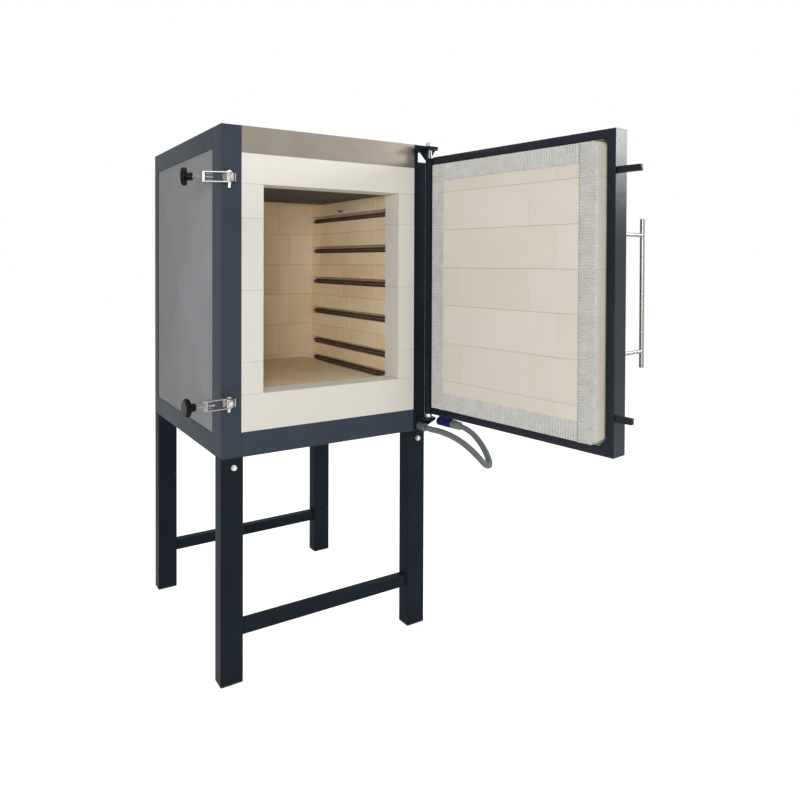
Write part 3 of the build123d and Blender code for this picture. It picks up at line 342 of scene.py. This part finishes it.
for start, end in (
    (place, stretched.inputs[0]),
    (given["Across the lines"], stretched.inputs[1]),
    (stretched.outputs[0], lines.inputs["Vector"]),
    (given["Lines per metre"], lines.inputs["Scale"]),
    (place, clouds.inputs["Vector"]),
    (given["Unevenness"], low.inputs[1]),
    (given["Unevenness"], high.inputs[1]),
    (clouds.outputs["Fac"], both.inputs[0]),
    (lines.outputs["Fac"], both.inputs[2]),
    (both.outputs[0], shade.inputs["Value"]),
    (low.outputs[0], shade.inputs["To Min"]),
    (high.outputs[0], shade.inputs["To Max"]),
    (given["Colour"], tinted.inputs[0]),
    (shade.outputs["Result"], tinted.inputs["Scale"]),
    (tinted.outputs[0], result["Colour"]),
    (lines.outputs["Fac"], rub.inputs["Value"]),
    (rub.outputs["Result"], total.inputs[0]),
    (given["Roughness"], total.inputs[1]),
    (total.outputs[0], result["Roughness"]),
    (lines.outputs["Fac"], result["Height"]),
):
    metal_lines.links.new(start, end)

zinc = surface("zinc", metallic=0.9)
dress(zinc, metal_lines, 0.0001,
      {"Colour": photo_colour(198, 198, 196), "Across the lines": (1.0, 1.0, 6.0), "Lines per metre": 500.0,
       "Roughness": 0.34, "Unevenness": 0.14})
give(zinc, "leg_bolts")
soften(0.0006, "leg_bolts")

# Body frame: folded 3 mm steel, welded and powder coated. Two corner posts stand at the front and two at
# the back, on a base ring, and a folded lid closes the top. Its paint is drawn in a lighter tone than the
# stand's, as painted light. The hinge's post has the stand's darker tone: painted shade.
BODY_FRAME = ("base_frame", "post_front_left", "rear_posts", "top_cover")
# The frame's lighter tone of the stand's paint: painted light.
frame_paint = surface("frame_paint", specular=0.03)
dress(frame_paint, coat_grain, 0.00025,
      {"Colour": LIT_ANTHRACITE, "Grain per metre": 700.0, "Roughness": 0.36, "Unevenness": 0.07})
give(frame_paint, *BODY_FRAME)
soften(0.0014, *BODY_FRAME)
give(shaded_stand_paint, "post_front_right")
soften(0.0005, "post_front_right")

# Trim over the lintel: a strip of brushed stainless steel between the front posts, its grain along
# the strip. It gets hot above the door and has the faint straw tint of heated stainless.
stainless = surface("stainless", metallic=1.0)
dress(stainless, metal_lines, 0.00006,
      {"Colour": photo_colour(144, 136, 125), "Across the lines": (0.02, 1.0, 1.0), "Lines per metre": 900.0,
       "Roughness": 0.4, "Unevenness": 0.06})
give(stainless, "lintel_cover")

# Cover sheets: thin steel pressed to a flat pyramid on each side, plain at the back and underneath,
# and coated in a lighter warm grey than the frame that holds them.
panel_paint = surface("panel_paint", specular=0.0)
dress(panel_paint, coat_grain, 0.0002,
      {"Colour": photo_colour(174, 176, 179), "Grain per metre": 800.0, "Roughness": 0.34,
       "Unevenness": 0.05})
give(panel_paint, "side_panel_left", "side_panel_right", "rear_panel", "base_sheet")

# Collar: white insulating firebrick round the mouth of the chamber, sawn and rubbed flat, with tight
# mortar joints in the jambs. The grain is fine open pores with a few larger ones.
fired_brick, given, result = new_effect(
    "fired_brick",
    [("Colour", "colour", (0.8, 0.8, 0.8, 1)), ("Second colour", "colour", (0.7, 0.7, 0.7, 1)),
     ("Brick tint", "value", 0.0), ("Pores per metre", "value", 500.0), ("Stain", "value", 0.3),
     ("Stain colour", "colour", (0.5, 0.4, 0.3, 1))],
    [("Colour", "colour"), ("Roughness", "value"), ("Height", "value")],
)
place = put_node(fired_brick, "TexCoord").outputs["Object"]
pores = put_node(fired_brick, "TexVoronoi")
pits = put_node(fired_brick, "MapRange", From_Min=0.0, From_Max=0.35)
sand = put_node(fired_brick, "TexNoise", Scale=1400.0, Detail=2.0)
broad = put_node(fired_brick, "TexNoise", Scale=7.0, Detail=4.0, Roughness=0.6)
rough_skin = put_node(fired_brick, "Math", "MULTIPLY_ADD", n1=0.35)
by_brick = put_node(fired_brick, "Mix", "RGBA")
stained = put_node(fired_brick, "MapRange", From_Min=0.42, From_Max=0.75, To_Min=0.0)
aged = put_node(fired_brick, "Mix", "RGBA")
# Colour darkened in the pores' pits: painted shade in the hollows.
pore_shade_factor = put_node(fired_brick, "MapRange", From_Min=0.0, From_Max=1.0, To_Min=0.9, To_Max=1.03)
pore_shaded_colour = put_node(fired_brick, "VectorMath", "SCALE")
dull = put_node(fired_brick, "MapRange", From_Min=0.3, From_Max=0.7, To_Min=0.82, To_Max=0.95)
for start, end in (
    (place, pores.inputs["Vector"]),
    (place, sand.inputs["Vector"]),
    (place, broad.inputs["Vector"]),
    (given["Pores per metre"], pores.inputs["Scale"]),
    (pores.outputs["Distance"], pits.inputs["Value"]),
    (sand.outputs["Fac"], rough_skin.inputs[0]),
    (pits.outputs["Result"], rough_skin.inputs[2]),
    (rough_skin.outputs[0], result["Height"]),
    (given["Brick tint"], by_brick.inputs[0]),
    (given["Colour"], by_brick.inputs[6]),
    (given["Second colour"], by_brick.inputs[7]),
    (broad.outputs["Fac"], stained.inputs["Value"]),
    (given["Stain"], stained.inputs["To Max"]),
    (stained.outputs["Result"], aged.inputs[0]),
    (by_brick.outputs[2], aged.inputs[6]),
    (given["Stain colour"], aged.inputs[7]),
    (pits.outputs["Result"], pore_shade_factor.inputs["Value"]),
    (aged.outputs[2], pore_shaded_colour.inputs[0]),
    (pore_shade_factor.outputs["Result"], pore_shaded_colour.inputs["Scale"]),
    (pore_shaded_colour.outputs[0], result["Colour"]),
    (broad.outputs["Fac"], dull.inputs["Value"]),
    (dull.outputs["Result"], result["Roughness"]),
):
    fired_brick.links.new(start, end)

collar_brick = surface("collar_brick", specular=0.2)
dress(collar_brick, fired_brick, 0.0004,
      {"Colour": photo_colour(236, 232, 222), "Second colour": photo_colour(232, 226, 212),
       "Pores per metre": 450.0, "Stain": 0.1, "Stain colour": photo_colour(222, 208, 182)})
give(collar_brick, "collar_bricks")

# Chamber walls: insulating bricks laid flat in running bond, slotted along both sides for the heating
# coils. They are cream when new and fire to tan, each brick a little differently.
brick_number, given, result = new_effect(
    "brick_number",
    [("Along", "value", 0.0), ("Up", "value", 0.0), ("First joint", "value", 0.0), ("Course", "value", 0.115),
     ("Even joints", "vector", (0.0, 0.0, 0.0)), ("Odd joints", "vector", (0.0, 0.0, 0.0))],
    [("Tint", "value")],
)
raised = put_node(brick_number, "Math", "SUBTRACT")
in_courses = put_node(brick_number, "Math", "DIVIDE")
course = put_node(brick_number, "Math", "FLOOR")
odd = put_node(brick_number, "Math", "FLOORED_MODULO", n1=2.0)
joints = put_node(brick_number, "Mix", "VECTOR")
at_joints = put_node(brick_number, "SeparateXYZ")
past_first = put_node(brick_number, "Math", "GREATER_THAN")
past_second = put_node(brick_number, "Math", "GREATER_THAN")
in_row = put_node(brick_number, "Math", "ADD")
named = put_node(brick_number, "CombineXYZ", Z=0.37)
chance = put_node(brick_number, "TexWhiteNoise")
for start, end in (
    (given["Up"], raised.inputs[0]),
    (given["First joint"], raised.inputs[1]),
    (raised.outputs[0], in_courses.inputs[0]),
    (given["Course"], in_courses.inputs[1]),
    (in_courses.outputs[0], course.inputs[0]),
    (course.outputs[0], odd.inputs[0]),
    (odd.outputs[0], joints.inputs[0]),
    (given["Even joints"], joints.inputs[4]),
    (given["Odd joints"], joints.inputs[5]),
    (joints.outputs[1], at_joints.inputs["Vector"]),
    (given["Along"], past_first.inputs[0]),
    (at_joints.outputs["X"], past_first.inputs[1]),
    (given["Along"], past_second.inputs[0]),
    (at_joints.outputs["Y"], past_second.inputs[1]),
    (past_first.outputs[0], in_row.inputs[0]),
    (past_second.outputs[0], in_row.inputs[1]),
    (course.outputs[0], named.inputs["X"]),
    (in_row.outputs[0], named.inputs["Y"]),
    (named.outputs[0], chance.inputs["Vector"]),
    (chance.outputs["Value"], result["Tint"]),
):
    brick_number.links.new(start, end)


def lay_bricks(made, placed, axis, first_joint, course, even, odd, local=None):
    """Tint a wall's bricks one by one: along the axis and up, from its first bed joint."""
    tree = made.node_tree
    numbered = tree.nodes.new("ShaderNodeGroup")
    numbered.node_tree = brick_number
    for label, value in (("First joint", first_joint), ("Course", course), ("Even joints", even),
                         ("Odd joints", odd)):
        numbered.inputs[label].default_value = value
    axes = put_node(tree, "SeparateXYZ")
    source = local.outputs["Vector"] if local else put_node(tree, "TexCoord").outputs["Object"]
    tree.links.new(source, axes.inputs["Vector"])
    tree.links.new(axes.outputs[axis], numbered.inputs["Along"])
    tree.links.new(axes.outputs["Z"], numbered.inputs["Up"])
    tree.links.new(numbered.outputs["Tint"], placed.inputs["Brick tint"])


CHAMBER_STAIN = photo_colour(222, 190, 146)


def chamber_brick(name, cream, tan, stain):
    """Brick of one part of the chamber, between two tints and stained so far, and its placed effect."""
    made = surface(name, specular=0.2)
    placed = dress(made, fired_brick, 0.0005,
                   {"Colour": photo_colour(*cream), "Second colour": photo_colour(*tan),
                    "Pores per metre": 420.0, "Stain": stain, "Stain colour": CHAMBER_STAIN})
    return made, placed


# Three copies of one brick: the side walls' lighter copy is painted light, the rear wall's darker copy
# painted shade, the floor's and roof's between.
lit_side_brick, grain = chamber_brick("lit_side_brick", (254, 239, 210), (248, 224, 184), 0.35)
lay_bricks(lit_side_brick, grain, "Y", 0.698, 0.115, (0.307, 0.538, 0), (0.138, 0.369, 0))
give(lit_side_brick, "left_wall_bricks", "right_wall_bricks")

shaded_rear_brick, grain = chamber_brick("shaded_rear_brick", (234, 218, 190), (228, 208, 176), 0.3)
lay_bricks(shaded_rear_brick, grain, "X", 0.698, 0.115, (0.2557, 0.4867, 0), (0.2146, 0.4456, 0))
give(shaded_rear_brick, "rear_wall_bricks")

bed_brick = chamber_brick("bed_brick", (244, 229, 202), (238, 219, 188), 0.4)[0]
give(bed_brick, "floor_bricks", "roof_bricks")

# Kiln plates: a dense tan plate forms the chamber's floor between two open troughs, and a dark
# silicon carbide slab, shiny with firing, carries the roof.
floor_stone = surface("floor_stone", specular=0.3)
dress(floor_stone, fired_brick, 0.0003,
      {"Colour": photo_colour(236, 219, 190), "Second colour": photo_colour(228, 210, 180),
       "Pores per metre": 700.0, "Stain": 0.5, "Stain colour": photo_colour(208, 186, 152)})
give(floor_stone, "floor_plate")
roof_stone = surface("roof_stone", specular=0.3)
dress(roof_stone, fired_brick, 0.0003,
      {"Colour": photo_colour(92, 86, 78), "Second colour": photo_colour(84, 78, 70),
       "Pores per metre": 600.0, "Stain": 0.4, "Stain colour": photo_colour(66, 60, 54)})
give(roof_stone, "roof_plate")

# Insulating boards: pressed calcium silicate behind the bricks, chalky white, sawn to fill the space
# between lining and sheet metal. Only their edges ever show, before the covers go on.
board_white = surface("board_white", specular=0.1)
dress(board_white, fired_brick, 0.0002,
      {"Colour": photo_colour(226, 222, 212), "Second colour": photo_colour(220, 214, 202),
       "Pores per metre": 1500.0, "Stain": 0.05, "Stain colour": photo_colour(210, 200, 180)})
give(board_white, "insulation_floor", "insulation_rear", "insulation_roof", "insulation_sides",
     "door_insulation")

# Heating coils: resistance wire wound to 17 mm and slid over a ceramic tube in every slot, with twisted
# tails through the rear wall. In use the wire turns dark brown with a grey lustre.
COIL_LEVELS = (0.170, 0.2375, 0.3525, 0.4675, 0.5825, 0.6975)
COIL_COLUMNS = (0.111, 0.595)
COIL_SPAN = (0.0895, 0.5885)
COIL_RADIUS = 0.0085
WIRE_RADIUS = 0.0013
TURN_PITCH = 0.0052
TAIL_RADIUS = 0.0024
TAIL_END = 0.712
STEPS_A_TURN = 12
first_coil = (COIL_COLUMNS[0], COIL_SPAN[0], 0.626 + COIL_LEVELS[0])
turns = round((COIL_SPAN[1] - COIL_SPAN[0]) / TURN_PITCH)
steps = STEPS_A_TURN * turns
coil_form = bmesh.new()
section = bmesh.ops.create_circle(
    coil_form,
    cap_ends=False,
    segments=5,
    radius=WIRE_RADIUS,
    matrix=Matrix.Translation(Vector(first_coil) + Vector((COIL_RADIUS - WIRE_RADIUS, 0, 0)))
    @ Matrix.Rotation(pi, 4, "X"),
)["verts"]
bmesh.ops.spin(
    coil_form,
    geom=section + list({edge for vertex in section for edge in vertex.link_edges}),
    cent=first_coil,
    axis=(0, 1, 0),
    dvec=(0, (COIL_SPAN[1] - COIL_SPAN[0]) / steps, 0),
    angle=2 * pi * turns,
    steps=steps,
)
bmesh.ops.create_cone(
    coil_form,
    cap_ends=True,
    segments=10,
    radius1=TAIL_RADIUS,
    radius2=TAIL_RADIUS,
    depth=TAIL_END - COIL_SPAN[1],
    matrix=Matrix.Translation((first_coil[0], (TAIL_END + COIL_SPAN[1]) / 2, first_coil[2]))
    @ Matrix.Rotation(pi / 2, 4, "X"),
)
one_coil = coil_form.verts[:] + coil_form.edges[:] + coil_form.faces[:]
for column in COIL_COLUMNS:
    for level in COIL_LEVELS:
        away = Vector((column, COIL_SPAN[0], 0.626 + level)) - Vector(first_coil)
        if away.length > 0:
            copied = bmesh.ops.duplicate(coil_form, geom=one_coil)["geom"]
            corners = [part for part in copied if isinstance(part, bmesh.types.BMVert)]
            bmesh.ops.translate(coil_form, verts=corners, vec=away)
open_ends = [edge for edge in coil_form.edges if edge.is_boundary]
bmesh.ops.holes_fill(coil_form, edges=open_ends, sides=5)
bmesh.ops.recalc_face_normals(coil_form, faces=coil_form.faces[:])
for face in coil_form.faces:
    face.smooth = True
wound_coils = new_piece("wound_heating_coils", coil_form, "kiln_body")
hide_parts("heating_coils")
oxide = surface("wire_oxide", metallic=0.45, specular=0.3)
dress(oxide, metal_lines, 0.0001,
      {"Colour": photo_colour(88, 72, 60), "Across the lines": (1.0, 6.0, 1.0), "Lines per metre": 300.0,
       "Roughness": 0.42, "Unevenness": 0.25})
wound_coils.data.materials.append(oxide)

tube_ceramic = surface("tube_ceramic", specular=0.3)
dress(tube_ceramic, fired_brick, 0.0001,
      {"Colour": photo_colour(214, 204, 186), "Second colour": photo_colour(206, 194, 172),
       "Pores per metre": 1800.0, "Stain": 0.5, "Stain colour": photo_colour(150, 122, 92)})
give(tube_ceramic, "element_tubes", "terminal_blocks")

# Thermocouple: a closed ceramic sheath that looks out of the right wall near the roof, browned by the
# heat at its tip; its head sits in the insulation behind the wall.
sheath = surface("thermocouple_sheath", specular=0.3)
dress(sheath, fired_brick, 0.0001,
      {"Colour": photo_colour(136, 112, 90), "Second colour": photo_colour(120, 98, 78),
       "Pores per metre": 1500.0, "Stain": 0.6, "Stain colour": photo_colour(96, 74, 56)})
give(sheath, "thermocouple")

# Terminal cover: a folded sheet steel box with punched vent slots over the coil terminals at the back,
# with a black cable gland for the supply lead underneath.
give(panel_paint, "terminal_cover")

gland_plastic = surface("gland_plastic")
dress(gland_plastic, coat_grain, 0.0002,
      {"Colour": photo_colour(44, 46, 48), "Grain per metre": 1300.0, "Roughness": 0.45})
give(gland_plastic, "cable_gland")

# Door hinge: one long ground steel pin held at both ends by welded, coated brackets. The door's tube turns
# on it over a plated collar, and a nut closes the top.
# The brackets and the door's tube have the stand's darker tone of the paint: painted shade.
give(shaded_stand_paint, "hinge_bracket_top", "hinge_bracket_bottom", "hinge_tube")
soften(0.0008, "hinge_bracket_top", "hinge_bracket_bottom")
give(zinc, "hinge_nut_and_collar")
soften(0.0005, "hinge_nut_and_collar")
ground_steel = surface("ground_steel", metallic=1.0)
dress(ground_steel, metal_lines, 0.00005,
      {"Colour": photo_colour(104, 104, 106), "Across the lines": (1.0, 1.0, 9.0), "Lines per metre": 600.0,
       "Roughness": 0.26, "Unevenness": 0.1})
give(ground_steel, "hinge_pin")

# Door: a folded steel tray, coated like the frame, with a pressed cover sheet on its outer side and
# two forged catches on its free edge for the clamps.
door_paint = surface("door_paint", specular=0.14)
dress(door_paint, coat_grain, 0.00025,
      {"Colour": photo_colour(30, 37, 46), "Grain per metre": 700.0, "Roughness": 0.28, "Unevenness": 0.1})
give(door_paint, "door_frame")
soften(0.0012, "door_frame")
give(panel_paint, "door_panel")
catch_steel = surface("catch_steel", specular=0.2)
dress(catch_steel, coat_grain, 0.0002,
      {"Colour": photo_colour(20, 25, 31), "Grain per metre": 600.0, "Roughness": 0.4})
give(catch_steel, "door_catches")
soften(0.0012, "door_catches")

# Door plug: seven courses of sawn insulating brick, set proud of the tray so that they enter the mouth
# of the chamber. They differ a little in tint, cream, straw and faint pink, from brick to brick.
door_brick = surface("door_brick", specular=0.2)
grain = dress(door_brick, fired_brick, 0.0004,
              {"Colour": photo_colour(237, 231, 217), "Second colour": photo_colour(232, 225, 209),
               "Pores per metre": 450.0, "Stain": 0.08, "Stain colour": photo_colour(214, 198, 172)})
tree = door_brick.node_tree
local = put_node(tree, "Mapping", Location=HINGE_LINE, Rotation=(0, 0, DOOR_TURN))
local.vector_type = "TEXTURE"
tree.links.new(put_node(tree, "TexCoord").outputs["Object"], local.inputs["Vector"])
lay_bricks(door_brick, grain, "X", 0.067, 0.1145, (0.2619, 0.495, 0), (0.1735, 0.4084, 0), local)
give(door_brick, "door_bricks")

# Door seal: flat tape knitted from ceramic fibre, 51 mm wide, glued round the plug's face. It is
# ribbed crosswise, the standing strips run the full height, and its rim frays a little.
SEAL_OUTER = ((0.046, 0.612), (0.091, 0.841))
SEAL_FACE = -0.036
SEAL_BACK = -0.0321
SEAL_WIDE = 0.051
SEAL_RIB = 0.0078
GROOVE_DEEP = 0.0024
KNIT_DEEP = 0.0003
RIM_SHARE = 0.06
RIM_FALL = 0.0012
SEAL_STEP = 0.001
SEAL_ROWS = 14
SEAL_FRONT_R = 0.010
SEAL_LOW_CUT = 0.013
seal_form = bmesh.new()
for side in range(4):
    lying = side in (0, 2)
    run = (SEAL_OUTER[0][0] + SEAL_WIDE, SEAL_OUTER[0][1] - SEAL_WIDE) if lying else SEAL_OUTER[1]
    outer_edge = (SEAL_OUTER[1][1], SEAL_OUTER[0][0], SEAL_OUTER[1][0], SEAL_OUTER[0][1])[side]
    inward = (-1, 1, 1, -1)[side]
    count = round((run[1] - run[0]) / SEAL_STEP)
    made = bmesh.ops.create_grid(seal_form, x_segments=count, y_segments=SEAL_ROWS, size=0.5)["verts"]
    for vertex in made:
        share, depth = vertex.co.x + 0.5, vertex.co.y + 0.5
        inset = depth * SEAL_WIDE
        along = run[0] + share * (run[1] - run[0])
        across = outer_edge + inward * inset
        fray = noise.noise(Vector((along * 260, side * 7.0, 0))) * 0.0011
        wander = noise.noise(Vector((along * 30, side * 3.0, 2.0))) * 0.0009
        if depth < 0.01:
            across += inward * (0.0008 + fray)
        if depth > 0.99 and 0.0 < share < 1.0:
            across += inward * (wander - 0.0006)
        rib = 0.5 + 0.5 * cos(2 * pi * (along + 0.5 * wander + 0.0012 * sin(inset * 180)) / SEAL_RIB)
        knit = noise.noise(Vector((along * 420, inset * 420, side * 5.0)))
        rim = min(depth, 1 - depth) if lying else min(depth, 1 - depth, 15 * share, 15 * (1 - share))
        fall = max(0.0, 1 - rim / RIM_SHARE) ** 2 * RIM_FALL
        height = SEAL_FACE + (1 - rib) ** 3 * GROOVE_DEEP + KNIT_DEEP * (knit + 1) + fall
        place = Vector((along, height, across)) if lying else Vector((across, height, along))
        corner = Vector((SEAL_OUTER[0][1] - SEAL_FRONT_R, 0, SEAL_OUTER[1][1] - SEAL_FRONT_R))
        beyond = Vector((place.x - corner.x, 0, place.z - corner.z))
        if beyond.x > 0 and beyond.z > 0 and beyond.length > SEAL_FRONT_R:
            beyond = beyond.normalized() * SEAL_FRONT_R
            place.x, place.z = corner.x + beyond.x, corner.z + beyond.z
        short = SEAL_LOW_CUT - (SEAL_OUTER[0][1] - place.x) - (place.z - SEAL_OUTER[1][0])
        if short > 0:
            place.x -= short / 2
            place.z += short / 2
        vertex.co = place
skin = seal_form.faces[:]
back = bmesh.ops.extrude_face_region(seal_form, geom=skin)["geom"]
for part in back:
    if isinstance(part, bmesh.types.BMVert):
        part.co.y = SEAL_BACK
bmesh.ops.recalc_face_normals(seal_form, faces=seal_form.faces[:])
for face in seal_form.faces:
    face.smooth = True
seal_form.transform(Matrix.Translation(HINGE_LINE) @ Matrix.Rotation(DOOR_TURN, 4, "Z"))
fibre_seal = new_piece("fibre_door_seal", seal_form, "door")
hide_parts("door_seal")

fibre = surface("knitted_fibre", specular=0.1)
fibre.node_tree.nodes["Principled BSDF"].inputs["Sheen Weight"].default_value = 0.15
fibre.node_tree.nodes["Principled BSDF"].inputs["Sheen Roughness"].default_value = 0.6
tree = fibre.node_tree
shader = tree.nodes["Principled BSDF"]
local = put_node(tree, "Mapping", Location=HINGE_LINE, Rotation=(0, 0, DOOR_TURN))
local.vector_type = "TEXTURE"
strands = put_node(tree, "TexNoise", Scale=900.0, Detail=4.0, Roughness=0.7)
stitches = put_node(tree, "TexVoronoi", Scale=330.0)
matted = put_node(tree, "TexNoise", Scale=40.0, Detail=3.0)
pile = put_node(tree, "Math", "MULTIPLY_ADD", n1=0.6)
pile_shade = put_node(tree, "MapRange", From_Min=0.25, From_Max=1.0, To_Min=0.0, To_Max=1.0)
yarn = put_node(tree, "Mix", "RGBA", n6=photo_colour(236, 235, 231), n7=photo_colour(206, 205, 199))
worn = put_node(tree, "MapRange", From_Min=0.3, From_Max=0.7, To_Min=0.93, To_Max=1.04)
faded = put_node(tree, "VectorMath", "SCALE")
dry = put_node(tree, "MapRange", From_Min=0.3, From_Max=0.7, To_Min=0.88, To_Max=0.98)
bump = put_node(tree, "Bump", Strength=0.8, Distance=0.0006)
for start, end in (
    (put_node(tree, "TexCoord").outputs["Object"], local.inputs["Vector"]),
    (local.outputs["Vector"], strands.inputs["Vector"]),
    (local.outputs["Vector"], stitches.inputs["Vector"]),
    (local.outputs["Vector"], matted.inputs["Vector"]),
    (strands.outputs["Fac"], pile.inputs[0]),
    (stitches.outputs["Distance"], pile.inputs[2]),
    (pile.outputs[0], pile_shade.inputs["Value"]),
    (pile_shade.outputs["Result"], yarn.inputs[0]),
    (matted.outputs["Fac"], worn.inputs["Value"]),
    (yarn.outputs[2], faded.inputs[0]),
    (worn.outputs["Result"], faded.inputs["Scale"]),
    (faded.outputs[0], shader.inputs["Base Color"]),
    (strands.outputs["Fac"], dry.inputs["Value"]),
    (dry.outputs["Result"], shader.inputs["Roughness"]),
    (pile.outputs[0], bump.inputs["Height"]),
    (bump.outputs["Normal"], shader.inputs["Normal"]),
):
    tree.links.new(start, end)
fibre_seal.data.materials.append(fibre)

# Door handle: a straight bar of ground stainless steel on two round posts, which stand out from the
# door's outer side.
handle_steel = surface("handle_steel", metallic=1.0)
dress(handle_steel, metal_lines, 0.00005,
      {"Colour": photo_colour(150, 145, 140), "Across the lines": (1.0, 1.0, 0.03), "Lines per metre": 1500.0,
       "Roughness": 0.34, "Unevenness": 0.08})
give(handle_steel, "handle_bar", "handle_posts")

# Door clamps: on each, a stirrup of flat stainless steel swings on a lug of the left post, its plated
# screw presses on the door's catch, and a black plastic star knob turns the screw.
clamp_steel = surface("clamp_steel", metallic=1.0)
dress(clamp_steel, metal_lines, 0.00008,
      {"Colour": photo_colour(158, 154, 148), "Across the lines": (1.0, 1.0, 5.0), "Lines per metre": 500.0,
       "Roughness": 0.42, "Unevenness": 0.12})
give(clamp_steel, "clamp_bases", "stirrup_upper", "stirrup_lower")
soften(0.0005, "clamp_bases", "stirrup_upper", "stirrup_lower")
pin_steel = surface("pin_steel", metallic=0.9)
dress(pin_steel, metal_lines, 0.00005,
      {"Colour": photo_colour(206, 206, 204), "Across the lines": (1.0, 1.0, 8.0), "Lines per metre": 700.0,
       "Roughness": 0.24, "Unevenness": 0.05})
give(pin_steel, "clamp_pins")

CLAMP_PINS = {"upper": ((0.0165, -0.0185, 1.3955), 25), "lower": ((0.0165, -0.0185, 0.7845), -4)}
THREAD_PITCH = 0.00175
for level, (pivot, rest) in CLAMP_PINS.items():
    thread = surface(f"screw_thread_{level}", metallic=0.9)
    dress(thread, metal_lines, 0.0001,
          {"Colour": photo_colour(150, 160, 170), "Across the lines": (1.0, 1.0, 6.0),
           "Lines per metre": 500.0, "Roughness": 0.32, "Unevenness": 0.1})
    tree = thread.node_tree
    along_arm = put_node(tree, "Mapping", Location=pivot, Rotation=(0, 0, pi - radians(rest)))
    along_arm.vector_type = "TEXTURE"
    ridges = tree.nodes.new("ShaderNodeTexWave")
    ridges.bands_direction = "X"
    ridges.inputs["Scale"].default_value = 2 * pi / 20 / THREAD_PITCH
    cut = put_node(tree, "Bump", Strength=1.0, Distance=0.0006)
    tree.links.new(put_node(tree, "TexCoord").outputs["Object"], along_arm.inputs["Vector"])
    tree.links.new(along_arm.outputs["Vector"], ridges.inputs["Vector"])
    tree.links.new(ridges.outputs["Fac"], cut.inputs["Height"])
    tree.links.new(tree.nodes["Bump"].outputs["Normal"], cut.inputs["Normal"])
    tree.links.new(cut.outputs["Normal"], tree.nodes["Principled BSDF"].inputs["Normal"])
    give(thread, f"spindle_{level}")

knob_plastic = surface("knob_plastic", specular=0.1)
dress(knob_plastic, coat_grain, 0.0001,
      {"Colour": photo_colour(8, 8, 10), "Grain per metre": 900.0, "Roughness": 0.3})
give(knob_plastic, "knob_upper", "knob_lower")

# Studio: a white floor that keeps the kiln's shadow, white surroundings, a broad soft lamp in front that
# reaches into the chamber, a weak one further left, a small one for the door's edge and one overhead.
def in_view(tree):
    """1 where the camera, a reflection or a glass looks at the backdrop, 0 where it only gives light."""
    rays = put_node(tree, "LightPath")
    first = put_node(tree, "Math", "MAXIMUM")
    either = put_node(tree, "Math", "MAXIMUM")
    tree.links.new(rays.outputs["Is Camera Ray"], first.inputs[0])
    tree.links.new(rays.outputs["Is Glossy Ray"], first.inputs[1])
    tree.links.new(first.outputs[0], either.inputs[0])
    tree.links.new(rays.outputs["Is Transmission Ray"], either.inputs[1])
    return either.outputs[0]


floor_form = bmesh.new()
bmesh.ops.create_grid(
    floor_form,
    x_segments=1,
    y_segments=1,
    size=9.0,
    matrix=Matrix.Translation((0, 2, 0)),
)
floor_mesh = bpy.data.meshes.new("studio_floor")
floor_form.to_mesh(floor_mesh)
floor_form.free()
studio_floor = bpy.data.objects.new("studio_floor", floor_mesh)
bpy.context.scene.collection.objects.link(studio_floor)
paper = bpy.data.materials.new("studio_floor")
paper.use_nodes = True
tree = paper.node_tree
tree.nodes.clear()
matt = put_node(tree, "BsdfDiffuse", Color=(0.86, 0.86, 0.86, 1))
glow = put_node(tree, "Emission", Color=(1, 1, 1, 1), Strength=0.85)
summed = tree.nodes.new("ShaderNodeAddShader")
shown = tree.nodes.new("ShaderNodeMixShader")
output = tree.nodes.new("ShaderNodeOutputMaterial")
tree.links.new(matt.outputs[0], summed.inputs[0])
tree.links.new(glow.outputs[0], summed.inputs[1])
tree.links.new(in_view(tree), shown.inputs[0])
tree.links.new(matt.outputs[0], shown.inputs[1])
tree.links.new(summed.outputs[0], shown.inputs[2])
tree.links.new(shown.outputs[0], output.inputs["Surface"])
studio_floor.data.materials.append(paper)

world = bpy.data.worlds.new("studio")
world.use_nodes = True
bpy.context.scene.world = world
tree = world.node_tree
room = tree.nodes["Background"]
level = put_node(tree, "MapRange", To_Min=0.24, To_Max=1.0)
tree.links.new(in_view(tree), level.inputs["Value"])
tree.links.new(level.outputs["Result"], room.inputs["Strength"])
room.inputs["Color"].default_value = (1, 1, 1, 1)

# Each lamp's place, the point it is turned to, its width in metres and its watts.
LAMPS = {
    "front": ((-1.5, -3.2, 1.5), (0.35, 0.3, 1.1), 1.2, 56),
    "front_left": ((-2.6, -2.2, 1.9), (0.3, 0.2, 1.0), 1.4, 7),
    "right": ((2.79, -1.49, 1.94), (0.77, -0.68, 1.40), 0.5, 30),
    "overhead": ((0.4, 0.0, 4.2), (0.4, 0.2, 1.0), 3.0, 44),
}
for name, (place, aim, wide, watts) in LAMPS.items():
    light = bpy.data.lights.new(name, "AREA")
    light.shape = "SQUARE"
    light.size = wide
    light.energy = watts
    lamp = bpy.data.objects.new(name, light)
    bpy.context.scene.collection.objects.link(lamp)
    lamp.location = place
    lamp.rotation_euler = (Vector(aim) - Vector(place)).to_track_quat("-Z", "Y").to_euler()
bpy.context.scene.view_settings.view_transform = "Standard"
